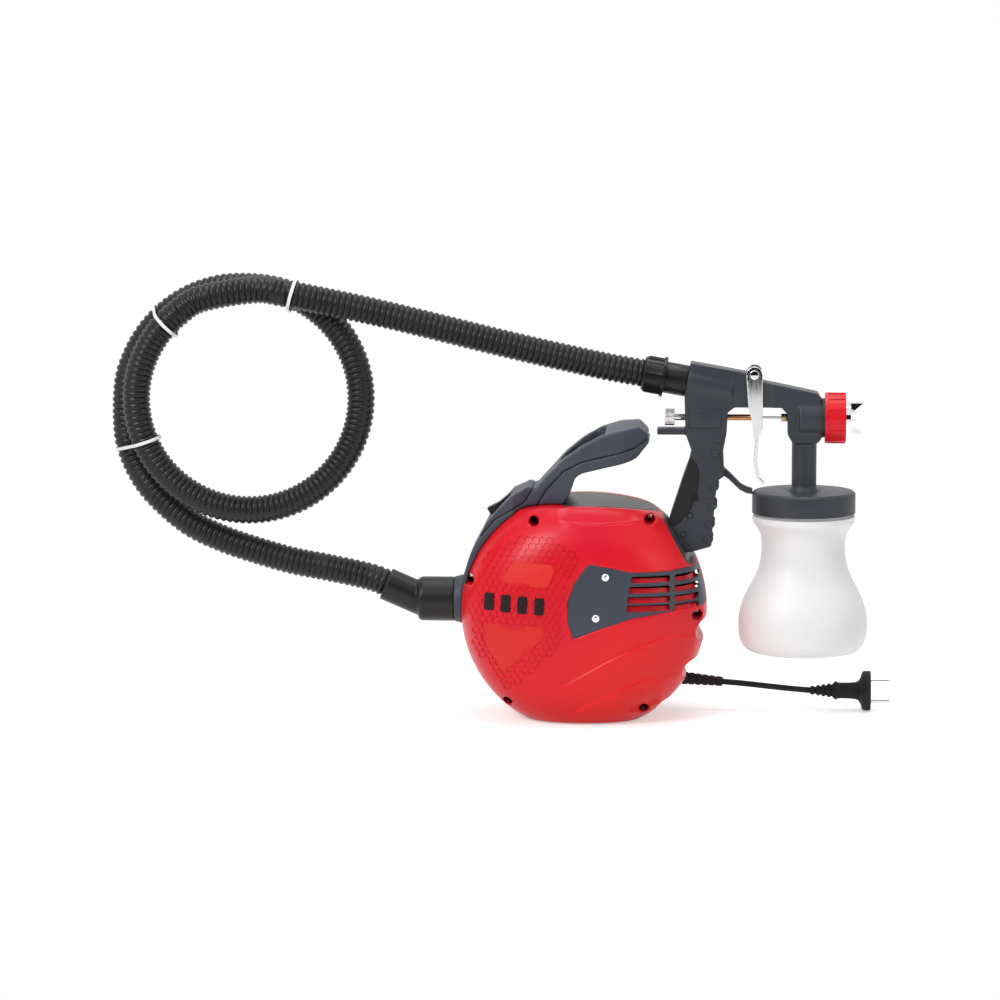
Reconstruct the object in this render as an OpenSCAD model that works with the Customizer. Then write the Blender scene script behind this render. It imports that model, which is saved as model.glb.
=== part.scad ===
// Turbine paint sprayer: a floor-standing turbine unit with its hose, and a cup gun standing in its holster.
// X points to the gun's nozzle, Y to the back, Z up. The origin is on the floor under the round body's centre.

/* [Round body] */
// Radius of the round body
body_r = 113; // [110:1:118]
// Half of the body's depth, front to back
body_half_depth = 85; // [80:1:90]
// Height of the body's centre above the floor
body_centre_z = 100; // [99:0.5:102]
// Height of the arched top
top_z = 200; // [198:0.5:202]
// Radius of the arched top
top_arch_r = 300; // [260:10:400]
// Wall of the red shells
shell_wall = 3; // [2.4:0.2:3.6]
// Width of the rubber sole
sole_w = 84; // [70:2:88]
// Depth of the rubber sole
sole_d = 76; // [60:2:84]
// Thickness of the rubber sole
sole_t = 3; // [2.5:0.5:4]

/* [Handle and switch] */
// Half of the handle's width at its end bar
handle_half_w = 48; // [42:1:54]
// Half of the finger opening's width
finger_half_w = 36; // [30:1:40]
// Half of the handle foot's width
foot_half_w = 38; // [32:1:42]
// Width of the rocker switch
rocker_w = 14; // [10:1:18]

/* [Air intake and outlet] */
// Thickness of the grille plates
grille_t = 2; // [1.6:0.2:2.4]
// Height of the air outlet's axis
outlet_z = 106.4; // [104:0.2:109]
// Outer radius of the outlet spigot
spigot_r = 16; // [15:0.5:17]
// Wall of the outlet spigot
spigot_wall = 2.5; // [2:0.25:3]
// Outer radius of the hose elbow
elbow_r = 20.5; // [19.5:0.5:22]
// Outer radius of the elbow's hose cuff
cuff_r = 15.2; // [14:0.2:16]

/* [Turbine] */
// Outer radius of the volute housing
volute_r = 52; // [50:1:54]
// Half of the volute housing's depth
volute_half_d = 18; // [16:1:20]
// Radius of the impeller
impeller_r = 44; // [38:1:46]
// Number of impeller blades
blade_n = 12; // [8:1:16]
// Radius of the motor can
motor_r = 36; // [33:1:37]
// Radius of the motor shaft
shaft_r = 4; // [3:0.5:5]
// Outer radius of the shaft's ball bearings
bearing_r = 11; // [10:0.5:13]
// Running clearance of turning fits
run_gap = 0.05; // [0.02:0.01:0.1]

/* [Hose and cord] */
// Outer radius of the air hose
hose_r = 13; // [12:0.5:14]
hose_wall = 1.6; // [1.4:0.1:2]
// Radius of the mains cord
cord_r = 2.75; // [2.5:0.25:3.25]
// Radius of the plug's round face
plug_r = 18.4; // [17.5:0.1:18.6]
// Radius of a plug pin
pin_r = 2.4; // [2:0.1:2.4]
// Length of a plug pin
pin_len = 19; // [17:0.5:20]
// Distance between the plug pins
pin_spacing = 19; // [18:0.5:20]

/* [Spray gun] */
// Half of the grip's thickness
grip_half_t = 13.5; // [12:0.5:14]
// Half of the barrel's thickness beside the trigger
barrel_waist = 12.3; // [11:0.1:12.4]
// Height of the nozzle's axis
nozzle_z = 276.3; // [275:0.1:278]
// Radius of the red cap ring
ring_r = 23.2; // [22:0.2:24.4]
// Radius of the air cap
cap_r = 15.2; // [14:0.2:16]
// Radius of the stem over the cup
stem_r = 11.4; // [10.5:0.1:12]
// Radius of the needle
needle_r = 1.15; // [0.9:0.05:1.5]
// Radius of the needle's bronze sleeve
sleeve_r = 2.8; // [2.4:0.1:3.2]
// Radius of the fluid knob
knob_r = 7.6; // [6.5:0.1:9]

/* [Cup] */
// Outer radius of the cup's lid
lid_r = 47.3; // [46.8:0.1:49]
// Distance of the cup's axis from the body's centre
cup_x = 201; // [200:0.5:202]
// Height of the cup lid's top
lid_top_z = 209; // [208:0.5:210]
// Height of the cup lid's wall
lid_h = 20; // [18:0.5:22]
// Wall of the cup
cup_wall = 2.2; // [1.6:0.2:3]

/* [Hidden] */
$fn = 72;
far = 400;

base_z = 1;
squareness = 3;
profile_steps = 12;

body_red = "crimson";
slate = "slategray";
dark = "#2f3238";
black = "#141414";
rubber = "#1d1d1d";
chrome = "silver";
brass = "goldenrod";

// Places of the case screws, seen from the front: two under the top, and four by the rim, each given by its angle
// and its distance in from the rim.
rim_screws = [[163.25, 5.44], [0.28, 9.2], [-56.47, 11.63], [-130.36, 8.0]];
case_screws = concat([[-44, 186.8], [60.5, 186.9]], [for (s = rim_screws)
    [(body_r - s[1]) * cos(s[0]), body_centre_z + (body_r - s[1]) * sin(s[0])]]);
screw_head_r = 3.8;
screw_bore_r = 4.6;
screw_shank_r = 1.9;
screw_boss_r = 6.5;
screw_floor_y = 15;

// Scallops in the rim: angle and distance of each centre from the body's centre.
scallops = [[-8, body_r + 2], [-27.5, body_r + 2], [-49.5, body_r + 6]];
scallop_r = 11;

// Holster: the cut-away facet, its ledge and the pocket in it.
facet_angle = 30;
facet_dist = body_r - 5.4;
ledge_z = 148.3;
lip_t = 2;
holster_floor_z = 152.9;
holster_half_w = 16;
holster_wall = 2;
pocket_x = facet_dist - 39.1; // back of the pocket at its floor
pocket_outline = [[pocket_x, holster_floor_z], [pocket_x + 11.7, 192], [pocket_x + 11.7, 230], [150, 230],
    [150, holster_floor_z]];
liner_outline = [[pocket_x - 2.7, ledge_z], [pocket_x + 9.8, 190.5], [pocket_x + 41.5, 190.5],
    [pocket_x + 41.5, ledge_z]];

// Screws of the front grille: x and z.
grille_screw_at = [[21.6, 139.3], [13, 102]];
grille_outline = [
    [6.7, 151.3], [-6, 135], [-12.5, 117], [-12.8, 99], [-7.3, 82.8],
    [16.6, 92.1], [46.4, 101.9], [84.4, 108], [120, 109],
    [120, 146], [104, 145.5], [78, 143.6], [46, 143.5]
];
intake_outline = [[40, 106], [84, 112], [107, 113], [107, 141], [80, 139.5], [46, 139], [36, 130]];
grille_edge_y = 6;
plate_t = 1.6;
slot_z = [136.9, 127.7, 118.7, 110.9];
slot_left = [45, 43, 41.5, 41];
slot_h = 5.6;

turbine_z = outlet_z + spigot_r - volute_r;
volute_wall = 3;
mount_post_r = 4;
mount_at = [for (sx = [-1, 1], sz = [-1, 1]) [sx * 31, turbine_z + sz * 31]];
mount_t = 4;

// Outlet ring: how far it reaches from the body's middle.
ring_end = body_r + 6.5;

// Elbow: where its hose cuff starts and the angle it rises at.
elbow_x = -(body_r + 41);
elbow_tilt = 23.4;
cuff_len = 32;
cuff_start = [elbow_x, 0, outlet_z + 1];
cuff_dir = [-cos(elbow_tilt), 0, sin(elbow_tilt)];
cuff_end = cuff_start + cuff_dir * cuff_len;

// Gun: where the adaptor tube leaves the barrel and the angle it slopes at.
adaptor_at = [93.7, 0, 309.4];
adaptor_slope = 10;
adaptor_dir = [-cos(adaptor_slope), 0, sin(adaptor_slope)];
nut_near = 20.5;
nut_far = 41;
nut_end = adaptor_at + adaptor_dir * nut_far;

trigger_at = [155, 316.7];

// Hose route: the straight run from the gun, one and a quarter round turns, then the run to the elbow.
loop_centre = [-309, 290.5];
loop_r = 102.5;
loop_first = 100;
loop_last = 540;
loop_half_y = 13.5;
hose_socket = 10;
hose_run_in = [
    nut_end - adaptor_dir * (hose_socket - 1), nut_end, [22, 0, 322], [-14, 0, 329.5], [-52, -1, 338], [-90, -2, 347],
    [-128, -4, 356.5], [-166, -7, 366], [-204, -10, 375], [-242, -12, 383], [-276, -13.5, 389.5], [-302, -13.5, 392.6]
];
hose_loop = [for (a = [loop_first + 14:14:loop_last]) loop_point(a)];
hose_run_out = [
    [-424, 13, 262], [-419, 13, 238], [-407, 12, 214], [-389, 12, 193], [-364, 11, 173], [-334, 9, 159],
    [-300, 7, 148], [-268, 5, 139.5], [-238, 2, 134.5], cuff_end + cuff_dir * 14, cuff_end - cuff_dir * (hose_socket - 1)
];
hose_route = concat(hose_run_in, hose_loop, hose_run_out);

// Cord route from the boot to the plug.
cord_y = 30;
boot_at = [84, cord_y, 29.7];
boot_slope = 5;
boot_len = 44;
boot_end = boot_at + [cos(boot_slope), 0, -sin(boot_slope)] * boot_len;
plug_x = 209;
cord_route = [boot_end, [141, 30, 24.8], [155, 30, 23.5], [169, 30, 22], [183, 30, 20.6], [196, 30, 19.4],
    [plug_x, cord_y, plug_r]];

function depth_at(r) = body_half_depth * pow(1 - pow(r / body_r, squareness), 1 / squareness);
function from_centre(p) = norm([p[0], p[1] - body_centre_z]);
function ramp(a) = min(1, max(0, (a - 180) / 205));
function loop_grow(a) = a < 450 ? 0 : 13 * (a - 450) / 90;
function loop_point(a) = [
    loop_centre[0] + (loop_r + loop_grow(a)) * cos(a),
    loop_half_y * (2 * ramp(a) - 1),
    loop_centre[1] + (loop_r + loop_grow(a)) * sin(a)
];

// Rings of a tube round a route, and the closed tube itself.
function unit(v) = v / norm(v);
function heading(path, i) = unit(path[min(i + 1, len(path) - 1)] - path[max(i - 1, 0)]);
function ring_side(t) = unit(cross(t, abs(t[1]) < 0.9 ? [0, 1, 0] : [1, 0, 0]));
function ring(c, t, r, sides) = let (u = ring_side(t), v = cross(t, u))
    [for (k = [0:sides - 1]) c + r * (cos(360 * k / sides) * u + sin(360 * k / sides) * v)];

module pipe_along(path, r, bore, sides) {
    n = len(path);
    inner = n * sides;
    points = concat(
        [for (i = [0:n - 1]) each ring(path[i], heading(path, i), r, sides)],
        [for (i = [0:n - 1]) each ring(path[i], heading(path, i), bore, sides)]
    );
    walls = [for (i = [0:n - 2], k = [0:sides - 1])
        let (a = i * sides + k, b = i * sides + (k + 1) % sides)
        each [[a, a + sides, b], [b, a + sides, b + sides],
            [inner + a, inner + b, inner + a + sides], [inner + b, inner + b + sides, inner + a + sides]]];
    first = [for (k = [0:sides - 1]) let (a = k, b = (k + 1) % sides)
        each [[a, b, inner + a], [b, inner + b, inner + a]]];
    last = [for (k = [0:sides - 1]) let (a = (n - 1) * sides + k, b = (n - 1) * sides + (k + 1) % sides)
        each [[a, inner + a, b], [b, inner + a, inner + b]]];
    polyhedron(points, concat(first, last, walls));
}
module tube_along(path, r, sides) {
    n = len(path);
    points = [for (i = [0:n - 1]) each ring(path[i], heading(path, i), r, sides)];
    walls = [for (i = [0:n - 2], k = [0:sides - 1])
        let (a = i * sides + k, b = i * sides + (k + 1) % sides)
        each [[a, a + sides, b], [b, a + sides, b + sides]]];
    first = [for (k = [0:sides - 1]) k];
    last = [for (k = [sides - 1:-1:0]) (n - 1) * sides + k];
    polyhedron(points, concat([first, last], walls));
}

// Cylinders along X and along Y, between two planes.
module along_x(x0, x1, r, z, y = 0, r2 = undef) {
    translate([x0, y, z]) rotate([0, 90, 0]) rotate([0, 0, 45])
        cylinder(h = x1 - x0, r1 = r, r2 = is_undef(r2) ? r : r2);
}

module along_y(y0, y1, r, x, z) {
    translate([x, y0, z]) rotate([-90, 0, 0]) cylinder(h = y1 - y0, r = r);
}

// A prism with its outline in X and Z, between two planes of Y.
module side_prism(outline, y0, y1) {
    translate([0, y1, 0]) rotate([90, 0, 0]) linear_extrude(height = y1 - y0) polygon(outline);
}

module box(low, high) {
    translate(low) cube(high - low);
}

// A turned piece along the gun's adaptor axis, measured from the barrel.
module on_adaptor(s0, s1, r, r2 = undef) {
    translate(adaptor_at + adaptor_dir * s0) rotate([0, adaptor_slope - 90, 0])
        cylinder(h = s1 - s0, r1 = r, r2 = is_undef(r2) ? r : r2);
}

// A turned piece along the elbow's cuff axis, measured from its start.
module on_cuff(s0, s1, r) {
    translate(cuff_start + cuff_dir * s0) rotate([0, elbow_tilt - 90, 0]) cylinder(h = s1 - s0, r = r);
}

// The round body's outer form, shrunk by an inset: a squared round, flat below and arched on top.
module round_form(inset) {
    steps = profile_steps;
    intersection() {
        translate([0, 0, body_centre_z]) rotate([90, 0, 0]) rotate([0, 0, 90]) rotate_extrude($fn = 96) polygon([
            for (i = [-steps:steps]) let (a = 90 * i / steps) [
                (body_r - inset) * pow(cos(a), 2 / squareness),
                (body_half_depth - inset) * sign(a) * pow(abs(sin(a)), 2 / squareness)
            ]
        ]);
        box([-far, -far, base_z + inset], [far, far, far]);
        along_y(-far, far, top_arch_r - inset, 0, top_z - top_arch_r);
    }
}

module rim_scallops(grow) {
    for (s = scallops)
        along_y(-far, far, scallop_r + grow, s[1] * cos(s[0]), body_centre_z + s[1] * sin(s[0]));
}

// Everything beyond the holster's facet and above its ledge, shrunk towards the body by an inset.
module holster_cut(inset) {
    intersection() {
        translate([0, 0, body_centre_z]) rotate([0, -facet_angle, 0])
            box([facet_dist - inset, -far, -far], [far, far, far]);
        box([0, -far, ledge_z - inset], [far, far, far]);
    }
}

module case_screw_places() {
    for (p = case_screws) translate([p[0], 0, p[1]]) children();
}

// The hollow inside the shells, less what stands in it.
module shell_hollow() {
    difference() {
        round_form(shell_wall);
        rim_scallops(shell_wall);
        case_screw_places() along_y(-far, far, screw_boss_r, 0, 0);
        for (p = mount_at) {
            along_y(-far, -volute_half_d - mount_t, mount_post_r, p[0], p[1]);
            along_y(volute_half_d + mount_t, far, mount_post_r, p[0], p[1]);
        }
        for (p = grille_screw_at, side = [-1, 1])
            along_y(min(side * 72, side * far), max(side * 72, side * far), 5, p[0], p[1]);
    }
}

module sole_outline(h) {
    corner = 12;
    linear_extrude(height = h) union() {
        square([sole_w - 2 * corner, sole_d], center = true);
        square([sole_w, sole_d - 2 * corner], center = true);
        for (sx = [-1, 1], sy = [-1, 1])
            translate([sx * (sole_w / 2 - corner), sy * (sole_d / 2 - corner)]) circle(r = corner);
    }
}

// Plan of the top plate: an oval, cut straight behind the handle's stem.
module top_plate_outline(h) {
    linear_extrude(height = h) difference() {
        polygon([for (a = [0:6:354]) [68.5 * cos(a), 50 * sin(a)]]);
        translate([-far, -far / 2]) square([far - 18, far]);
        translate([-20, -30]) square([13, 60]);
    }
}

// What both shells share; the two halves differ in their screw bores and openings.
module shell_common() {
    difference() {
        round_form(0);
        rim_scallops(0);
        shell_hollow();
        holster_cut(lip_t);
        side_prism(liner_outline, -holster_half_w - holster_wall, holster_half_w + holster_wall);
        for (side = [-1, 1]) {
            intersection() {
                side_prism(grille_outline, side > 0 ? grille_edge_y : -far, side > 0 ? far : -grille_edge_y);
                difference() {
                    round_form(-1);
                    round_form(grille_t + 0.1);
                }
            }
            side_prism(intake_outline, side > 0 ? 20 : -far, side > 0 ? far : -20);
        }
        for (p = grille_screw_at) along_y(-far, -73, 1.6, p[0], p[1]);
        for (p = grille_screw_at) along_y(73, far, 1.6, p[0], p[1]);
        along_x(-far, -90, spigot_r + 1.5, outlet_z);
        intersection() {
            translate([0, 0, 150]) top_plate_outline(100);
            difference() {
                round_form(-1);
                round_form(plate_t + 0.1);
            }
        }
        translate([0, 0, -far + sole_t]) sole_outline(far);
        switch_pocket();
    }
}

module shell_front() {
    color(body_red) difference() {
        shell_common();
        box([-far, 0, -far], [far, far, far]);
        case_screw_places() along_y(-far, -screw_floor_y, screw_bore_r, 0, 0);
        case_screw_places() along_y(-far, 1, screw_shank_r + 0.1, 0, 0);
    }
}

module shell_rear() {
    color(body_red) difference() {
        shell_common();
        box([-far, -far, -far], [far, 0, far]);
        case_screw_places() along_y(-1, 16, screw_shank_r + 0.1, 0, 0);
        translate(boot_at) rotate([0, 90 + boot_slope, 0]) translate([0, 0, -16])
            cylinder(h = 60, r = 6.6);
    }
}

module rubber_sole() {
    color(rubber) sole_outline(sole_t);
}

module top_plate() {
    color(dark) intersection() {
        translate([0, 0, 150]) top_plate_outline(100);
        difference() {
            round_form(0);
            round_form(plate_t);
        }
    }
}

module holster_liner() {
    color(dark) difference() {
        union() {
            intersection() {
                side_prism(liner_outline, -holster_half_w - holster_wall, holster_half_w + holster_wall);
                round_form(0);
            }
            intersection() {
                round_form(0);
                holster_cut(lip_t);
            }
        }
        holster_cut(0);
        side_prism(pocket_outline, -holster_half_w, holster_half_w);
    }
}

// Side view of the whole handle, before the round body is taken away from it.
handle_outline = [
    [-111, 129], [-103, 154], [-93.5, 172], [-88, 183], [-66, 206.5], [-57, 211], [-51, 214.5], [-44, 213],
    [-33, 225], [-18, 241], [-1, 254], [15, 263], [32, 268], [50, 271], [58, 264], [60, 256], [48.7, 242.5],
    [42, 239.5], [-1, 229], [-7, 225], [-12, 210], [-20, 197], [-20, 180], [-60, 160], [-105, 120]
];
// Seam between the two handle mouldings, closed far below and right of it.
handle_seam = [
    [-46, 180], [-46, 191], [-33.7, 212], [-18, 230], [-2.4, 239], [37.2, 249], [47.3, 252], [70, 267],
    [100, 267], [100, 150], [-46, 150]
];
// The switch panel caps the handle's foot.
panel_outline = [
    [-109.3, 140.6], [-100.2, 162.2], [-81, 185.3], [-54.4, 200.7], [-46, 213.8], [-46, 240], [-140, 240],
    [-140, 140.6]
];
// Half of the handle's plan: x and half width.
handle_plan = [
    [-125, foot_half_w], [-64, foot_half_w], [-50, 28], [-34, 29], [-8, handle_half_w - 2], [36, handle_half_w],
    [60, 26]
];
finger_plan = [[-22, 10], [-8, finger_half_w - 6], [12, finger_half_w], [19, finger_half_w - 3]];
rocker_at = [-77, 195.5];
rocker_tilt = 46.7;
switch_depth = 19;

function mirrored(half) = concat(half, [for (i = [len(half) - 1:-1:0]) [half[i][0], -half[i][1]]]);

module handle_form() {
    difference() {
        intersection() {
            side_prism(handle_outline, -far / 2, far / 2);
            translate([0, 0, 100]) linear_extrude(height = 200) polygon(mirrored(handle_plan));
        }
        translate([0, 0, 210]) linear_extrude(height = 100) polygon(mirrored(finger_plan));
        round_form(-0.1);
    }
}

// A frame at the rocker: X up along the panel, Z out of it.
module at_rocker() {
    translate([rocker_at[0], 0, rocker_at[1]]) rotate([0, -rocker_tilt, 0]) children();
}

module switch_pocket() {
    at_rocker() box([-14.6, -rocker_w / 2 - 0.6, -switch_depth - 0.1], [14.6, rocker_w / 2 + 0.6, 10]);
}

module handle_upper() {
    color(slate) difference() {
        handle_form();
        side_prism(handle_seam, -far / 2, far / 2);
        side_prism(panel_outline, -far / 2, far / 2);
        switch_pocket();
        along_x(-body_r - 12, -body_r + 13, 22.7, outlet_z);
    }
}

module handle_lower() {
    color(slate) intersection() {
        handle_form();
        side_prism(handle_seam, -far / 2, far / 2);
    }
}

module switch_panel() {
    color(slate) difference() {
        intersection() {
            handle_form();
            side_prism(panel_outline, -far / 2, far / 2);
        }
        switch_pocket();
        at_rocker() along_y(-rocker_w / 2 - 3, rocker_w / 2 + 3, 1.5 + run_gap, 0, -3);
    }
}

module rocker_switch() {
    color(black) at_rocker() {
        side_prism([[-11.3, 6.3], [0, 2.2], [13.4, 0.6], [13, -2.5], [5, -7], [-5, -7], [-13.4, -1]],
            -rocker_w / 2, rocker_w / 2);
        along_y(-rocker_w / 2 - 2.4, rocker_w / 2 + 2.4, 1.5, 0, -3);
    }
}

module switch_body() {
    color(black) at_rocker() {
        box([-14.5, -rocker_w / 2 - 0.5, -switch_depth], [14.5, rocker_w / 2 + 0.5, -9.5]);
    }
}

module grille_plate(side) {
    y0 = side > 0 ? grille_edge_y : -far;
    y1 = side > 0 ? far : -grille_edge_y;
    difference() {
        intersection() {
            side_prism(grille_outline, y0, y1);
            difference() {
                round_form(0);
                round_form(grille_t);
            }
        }
        for (i = [0:3]) {
            box([slot_left[i], side > 0 ? 20 : -far, slot_z[i] - slot_h / 2],
                [79.5, side > 0 ? far : -20, slot_z[i] + slot_h / 2]);
            box([84, side > 0 ? 20 : -far, slot_z[i] - slot_h / 2],
                [105, side > 0 ? far : -20, slot_z[i] + slot_h / 2]);
        }
        for (p = grille_screw_at) {
            seat = grille_seat(p);
            along_y(side > 0 ? 60 : -far, side > 0 ? far : -60, 1.7, p[0], p[1]);
            along_y(side > 0 ? seat : -far, side > 0 ? far : -seat, 3.6, p[0], p[1]);
        }
    }
}

module grille_front() {
    color(slate) grille_plate(-1);
}

module grille_rear() {
    color(slate) grille_plate(1);
}

// Depth of the seat that a grille screw's head lies on.
function grille_seat(p) = depth_at(from_centre(p)) - 1;

// Pan-head screws of both grilles, in shallow seats of the plates.
module grille_screws() {
    color(chrome) for (p = grille_screw_at) {
        seat = grille_seat(p);
        along_y(-seat - 1.8, -seat, 3.4, p[0], p[1]);
        along_y(-seat - 1, -74, 1.5, p[0], p[1]);
        along_y(seat, seat + 1.8, 3.4, p[0], p[1]);
        along_y(74, seat + 1, 1.5, p[0], p[1]);
    }
}

module shell_screws() {
    color(chrome) case_screw_places() {
        along_y(-screw_floor_y - 3, -screw_floor_y, screw_head_r, 0, 0);
        along_y(-screw_floor_y, 14, screw_shank_r, 0, 0);
    }
}

// A foam pad behind the rear grille.
module filter_foam() {
    color("#3a3a3a") intersection() {
        side_prism([[34, 104], [100, 108], [100, 145], [34, 142]], 20, far);
        difference() {
            round_form(shell_wall + 0.2);
            round_form(shell_wall + 9);
        }
        box([-far, 40, -far], [far, far, far]);
    }
}

module outlet_ring() {
    color(slate) difference() {
        union() {
            along_x(-ring_end, -body_r - 0.6, 20.8, outlet_z, 0, 22);
            along_x(-body_r - 0.7, -body_r + 7, 22.5, outlet_z);
        }
        round_form(-0.1);
        along_x(-far, 0, spigot_r + 0.1, outlet_z);
    }
}

module hose_elbow() {
    color(black) difference() {
        union() {
            along_x(elbow_x + 4, -ring_end - 0.1, elbow_r, outlet_z);
            along_x(elbow_x + 1, elbow_x + 4, elbow_r - 2, outlet_z, 0, elbow_r);
            on_cuff(-12, cuff_len, cuff_r);
        }
        along_x(elbow_x + 6, 0, spigot_r + 0.1, outlet_z);
        on_cuff(-8, far, hose_r - 2);
        on_cuff(cuff_len - hose_socket, far, hose_r + 0.15);
    }
}

module turbine_housing() {
    color("#c9c9c4") difference() {
        union() {
            along_y(-volute_half_d, volute_half_d - volute_wall, volute_r, 0, turbine_z);
            along_x(elbow_x + 12, 0, spigot_r, outlet_z);
        }
        along_y(-volute_half_d + volute_wall, far, volute_r - volute_wall, 0, turbine_z);
        along_y(-far, 0, 17, 0, turbine_z);
        along_x(-far, 0, spigot_r - spigot_wall, outlet_z);
    }
}

module turbine_backplate() {
    color("#c9c9c4") difference() {
        along_y(volute_half_d - volute_wall, volute_half_d, volute_r, 0, turbine_z);
        along_y(0, far, shaft_r + 2, 0, turbine_z);
        along_x(-far, 0.5, spigot_r + 0.1, outlet_z);
    }
}

module rubber_mounts() {
    color(rubber) for (p = mount_at, side = [-1, 1])
        along_y(side > 0 ? volute_half_d : -volute_half_d - mount_t,
            side > 0 ? volute_half_d + mount_t : -volute_half_d, mount_post_r + 2, p[0], p[1]);
}

module impeller() {
    color("silver") difference() {
        union() {
            along_y(8, 10.5, impeller_r, 0, turbine_z);
            along_y(-12, 10.5, shaft_r + 4, 0, turbine_z);
            for (i = [0:blade_n - 1]) translate([0, 0, turbine_z]) rotate([0, i * 360 / blade_n, 0])
                translate([shaft_r + 3, 0, 0]) rotate([0, 28, 0])
                    box([0, -11, -0.8], [impeller_r - shaft_r - 9, 9, 0.8]);
        }
        along_y(-far, far, shaft_r, 0, turbine_z);
    }
}

motor_y0 = volute_half_d;
motor_y1 = 70;
motor_wall = 3;
bearing_w = 6;

module motor_can() {
    color("#8d9093") difference() {
        along_y(motor_y0, motor_y1, motor_r, 0, turbine_z);
        difference() {
            along_y(motor_y0 + motor_wall, motor_y1 - motor_wall, motor_r - 4, 0, turbine_z);
            along_y(motor_y0, motor_y0 + motor_wall + bearing_w, bearing_r + 3, 0, turbine_z);
            along_y(motor_y1 - motor_wall - bearing_w, motor_y1, bearing_r + 3, 0, turbine_z);
        }
        along_y(0, far, shaft_r + 2, 0, turbine_z);
        along_y(motor_y0 + motor_wall, motor_y1 - motor_wall, bearing_r + 0.1, 0, turbine_z);
        for (sx = [-1, 1]) box([sx * 30 - 12, 48, turbine_z - 4.1], [sx * 30 + 12, 57, turbine_z + 4.1]);
    }
}

// Shaft with its laminated core and its commutator.
module armature_shaft() {
    color("#b87333") {
        along_y(-13, motor_y1 + 2, shaft_r, 0, turbine_z);
        along_y(motor_y0 + motor_wall + bearing_w + 2, 46, 27, 0, turbine_z);
        along_y(49, 57, 12, 0, turbine_z);
    }
}

module ball_bearing(y0) {
    difference() {
        along_y(y0, y0 + bearing_w, bearing_r, 0, turbine_z);
        along_y(-far, far, shaft_r + run_gap, 0, turbine_z);
    }
}

module front_bearing() {
    color(chrome) ball_bearing(motor_y0 + motor_wall);
}

module rear_bearing() {
    color(chrome) ball_bearing(motor_y1 - motor_wall - bearing_w);
}

module carbon_brushes() {
    color("#444") for (sx = [-1, 1])
        box([min(sx * 12.15, sx * 34), 48.5, turbine_z - 4], [max(sx * 12.15, sx * 34), 56.5, turbine_z + 4]);
}

module air_hose() {
    color(black) pipe_along(hose_route, hose_r, hose_r - hose_wall, 10);
}

// A flat band round two strands of the hose: its place, its turn about Y, its lean and half the strands' distance.
tie_places = [[[-268.3, 0.2, 386], -74.1, 8.6, 13.5], [[-386, 0, 362.2], -134.9, -14, 13.9],
    [[-412, 1.2, 249.2], 161.6, -37.9, 14.9]];
tie_t = 1;
tie_w = 3;

module tie_ring(half, r, h) {
    linear_extrude(height = h) {
        translate([0, half]) circle(r = r, $fn = 32);
        translate([0, -half]) circle(r = r, $fn = 32);
        square([2 * r, 2 * half], center = true);
    }
}

module hose_ties() {
    color("white") for (t = tie_places) translate(t[0]) rotate([0, t[1], 0]) rotate([0, 0, t[2]]) difference() {
        translate([0, 0, -tie_w / 2]) tie_ring(t[3], hose_r + 0.8 + tie_t, tie_w);
        translate([0, 0, -tie_w]) tie_ring(t[3], hose_r + 0.8, 2 * tie_w);
    }
}

module cord_boot() {
    color(rubber) translate(boot_at) rotate([0, 90 + boot_slope, 0]) {
        cylinder(h = boot_len, r1 = 6.4, r2 = 4.4);
        translate([0, 0, -10]) cylinder(h = 10.5, r = 6.4);
    }
}

module power_cord() {
    color(black) tube_along(cord_route, cord_r, 8);
}

module plug_body() {
    color(black) {
        translate([plug_x, cord_y, plug_r]) rotate([0, 90, 0]) rotate([0, 0, 45]) rotate_extrude() polygon([
            [0, 0], [3.8, 0], [7.2, 22], [8.6, 22.5], [8.6, 25], [7.4, 25.5], [8.2, 44], [plug_r - 1, 48],
            [plug_r, 49], [plug_r, 56], [0, 56]
        ]);
    }
}

module plug_pins() {
    color(chrome) for (side = [-1, 1])
        along_x(plug_x + 56, plug_x + 56 + pin_len, pin_r, plug_r + side * pin_spacing / 2, cord_y);
}

module hose_nut() {
    color(black) difference() {
        union() {
            on_adaptor(nut_near, nut_near + 3, 18.4);
            on_adaptor(nut_near + 3, nut_far - 2, 16.2);
            on_adaptor(nut_far - 2, nut_far, 16.2, 14.6);
            for (i = [0:17]) translate(adaptor_at) rotate([0, adaptor_slope - 90, 0]) rotate([0, 0, i * 20])
                box([15.6, -0.9, nut_near + 3], [16.9, 0.9, nut_far - 3]);
        }
        on_adaptor(nut_near - 1, nut_near + 10, 14.4 + run_gap);
        on_adaptor(nut_near - 1, nut_far + 1, 11.5);
        on_adaptor(nut_far - hose_socket, nut_far + 1, hose_r + 0.15);
    }
}

module gun_adaptor() {
    color(black) difference() {
        union() {
            on_adaptor(0.05, nut_near + 8, 14.4);
            on_adaptor(-12, 1, 11);
        }
        on_adaptor(-20, far, 8.5);
    }
}

gun_outline = [
    [96.8, 327.2], [149, 318], [158, 311.2], [213, 299.7], [216, 294.5], [216, 257.5], [212.4, 254], [190, 254], [185.5, 262], [185.5, 280],
    [180, 286.4], [137, 286.4], [131, 282], [130, 263], [127, 247], [127.7, 231], [127.7, 223], [121.8, 219],
    [119.5, 196], [117.5, 172], [116.8, 158.9], [114, 157.6], [98, 153], [71, 153], [79.1, 187], [91, 224],
    [96, 238], [98, 247], [92.5, 262], [91.3, 296]
];
inlay_outline = [
    [96.6, 241], [102.5, 235], [105.3, 226], [103, 206], [96, 190.4], [86, 179], [76.5, 176], [79.1, 187],
    [91, 224], [96, 238]
];
strap_outline = [
    [125, 233], [133, 226], [143.6, 215.2], [150, 212.2], [154, 211.4], [154, 206], [149, 206.4], [142, 210],
    [131, 220.5], [124, 224]
];
plate_at = [[96, 268], [125, 286]];

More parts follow.
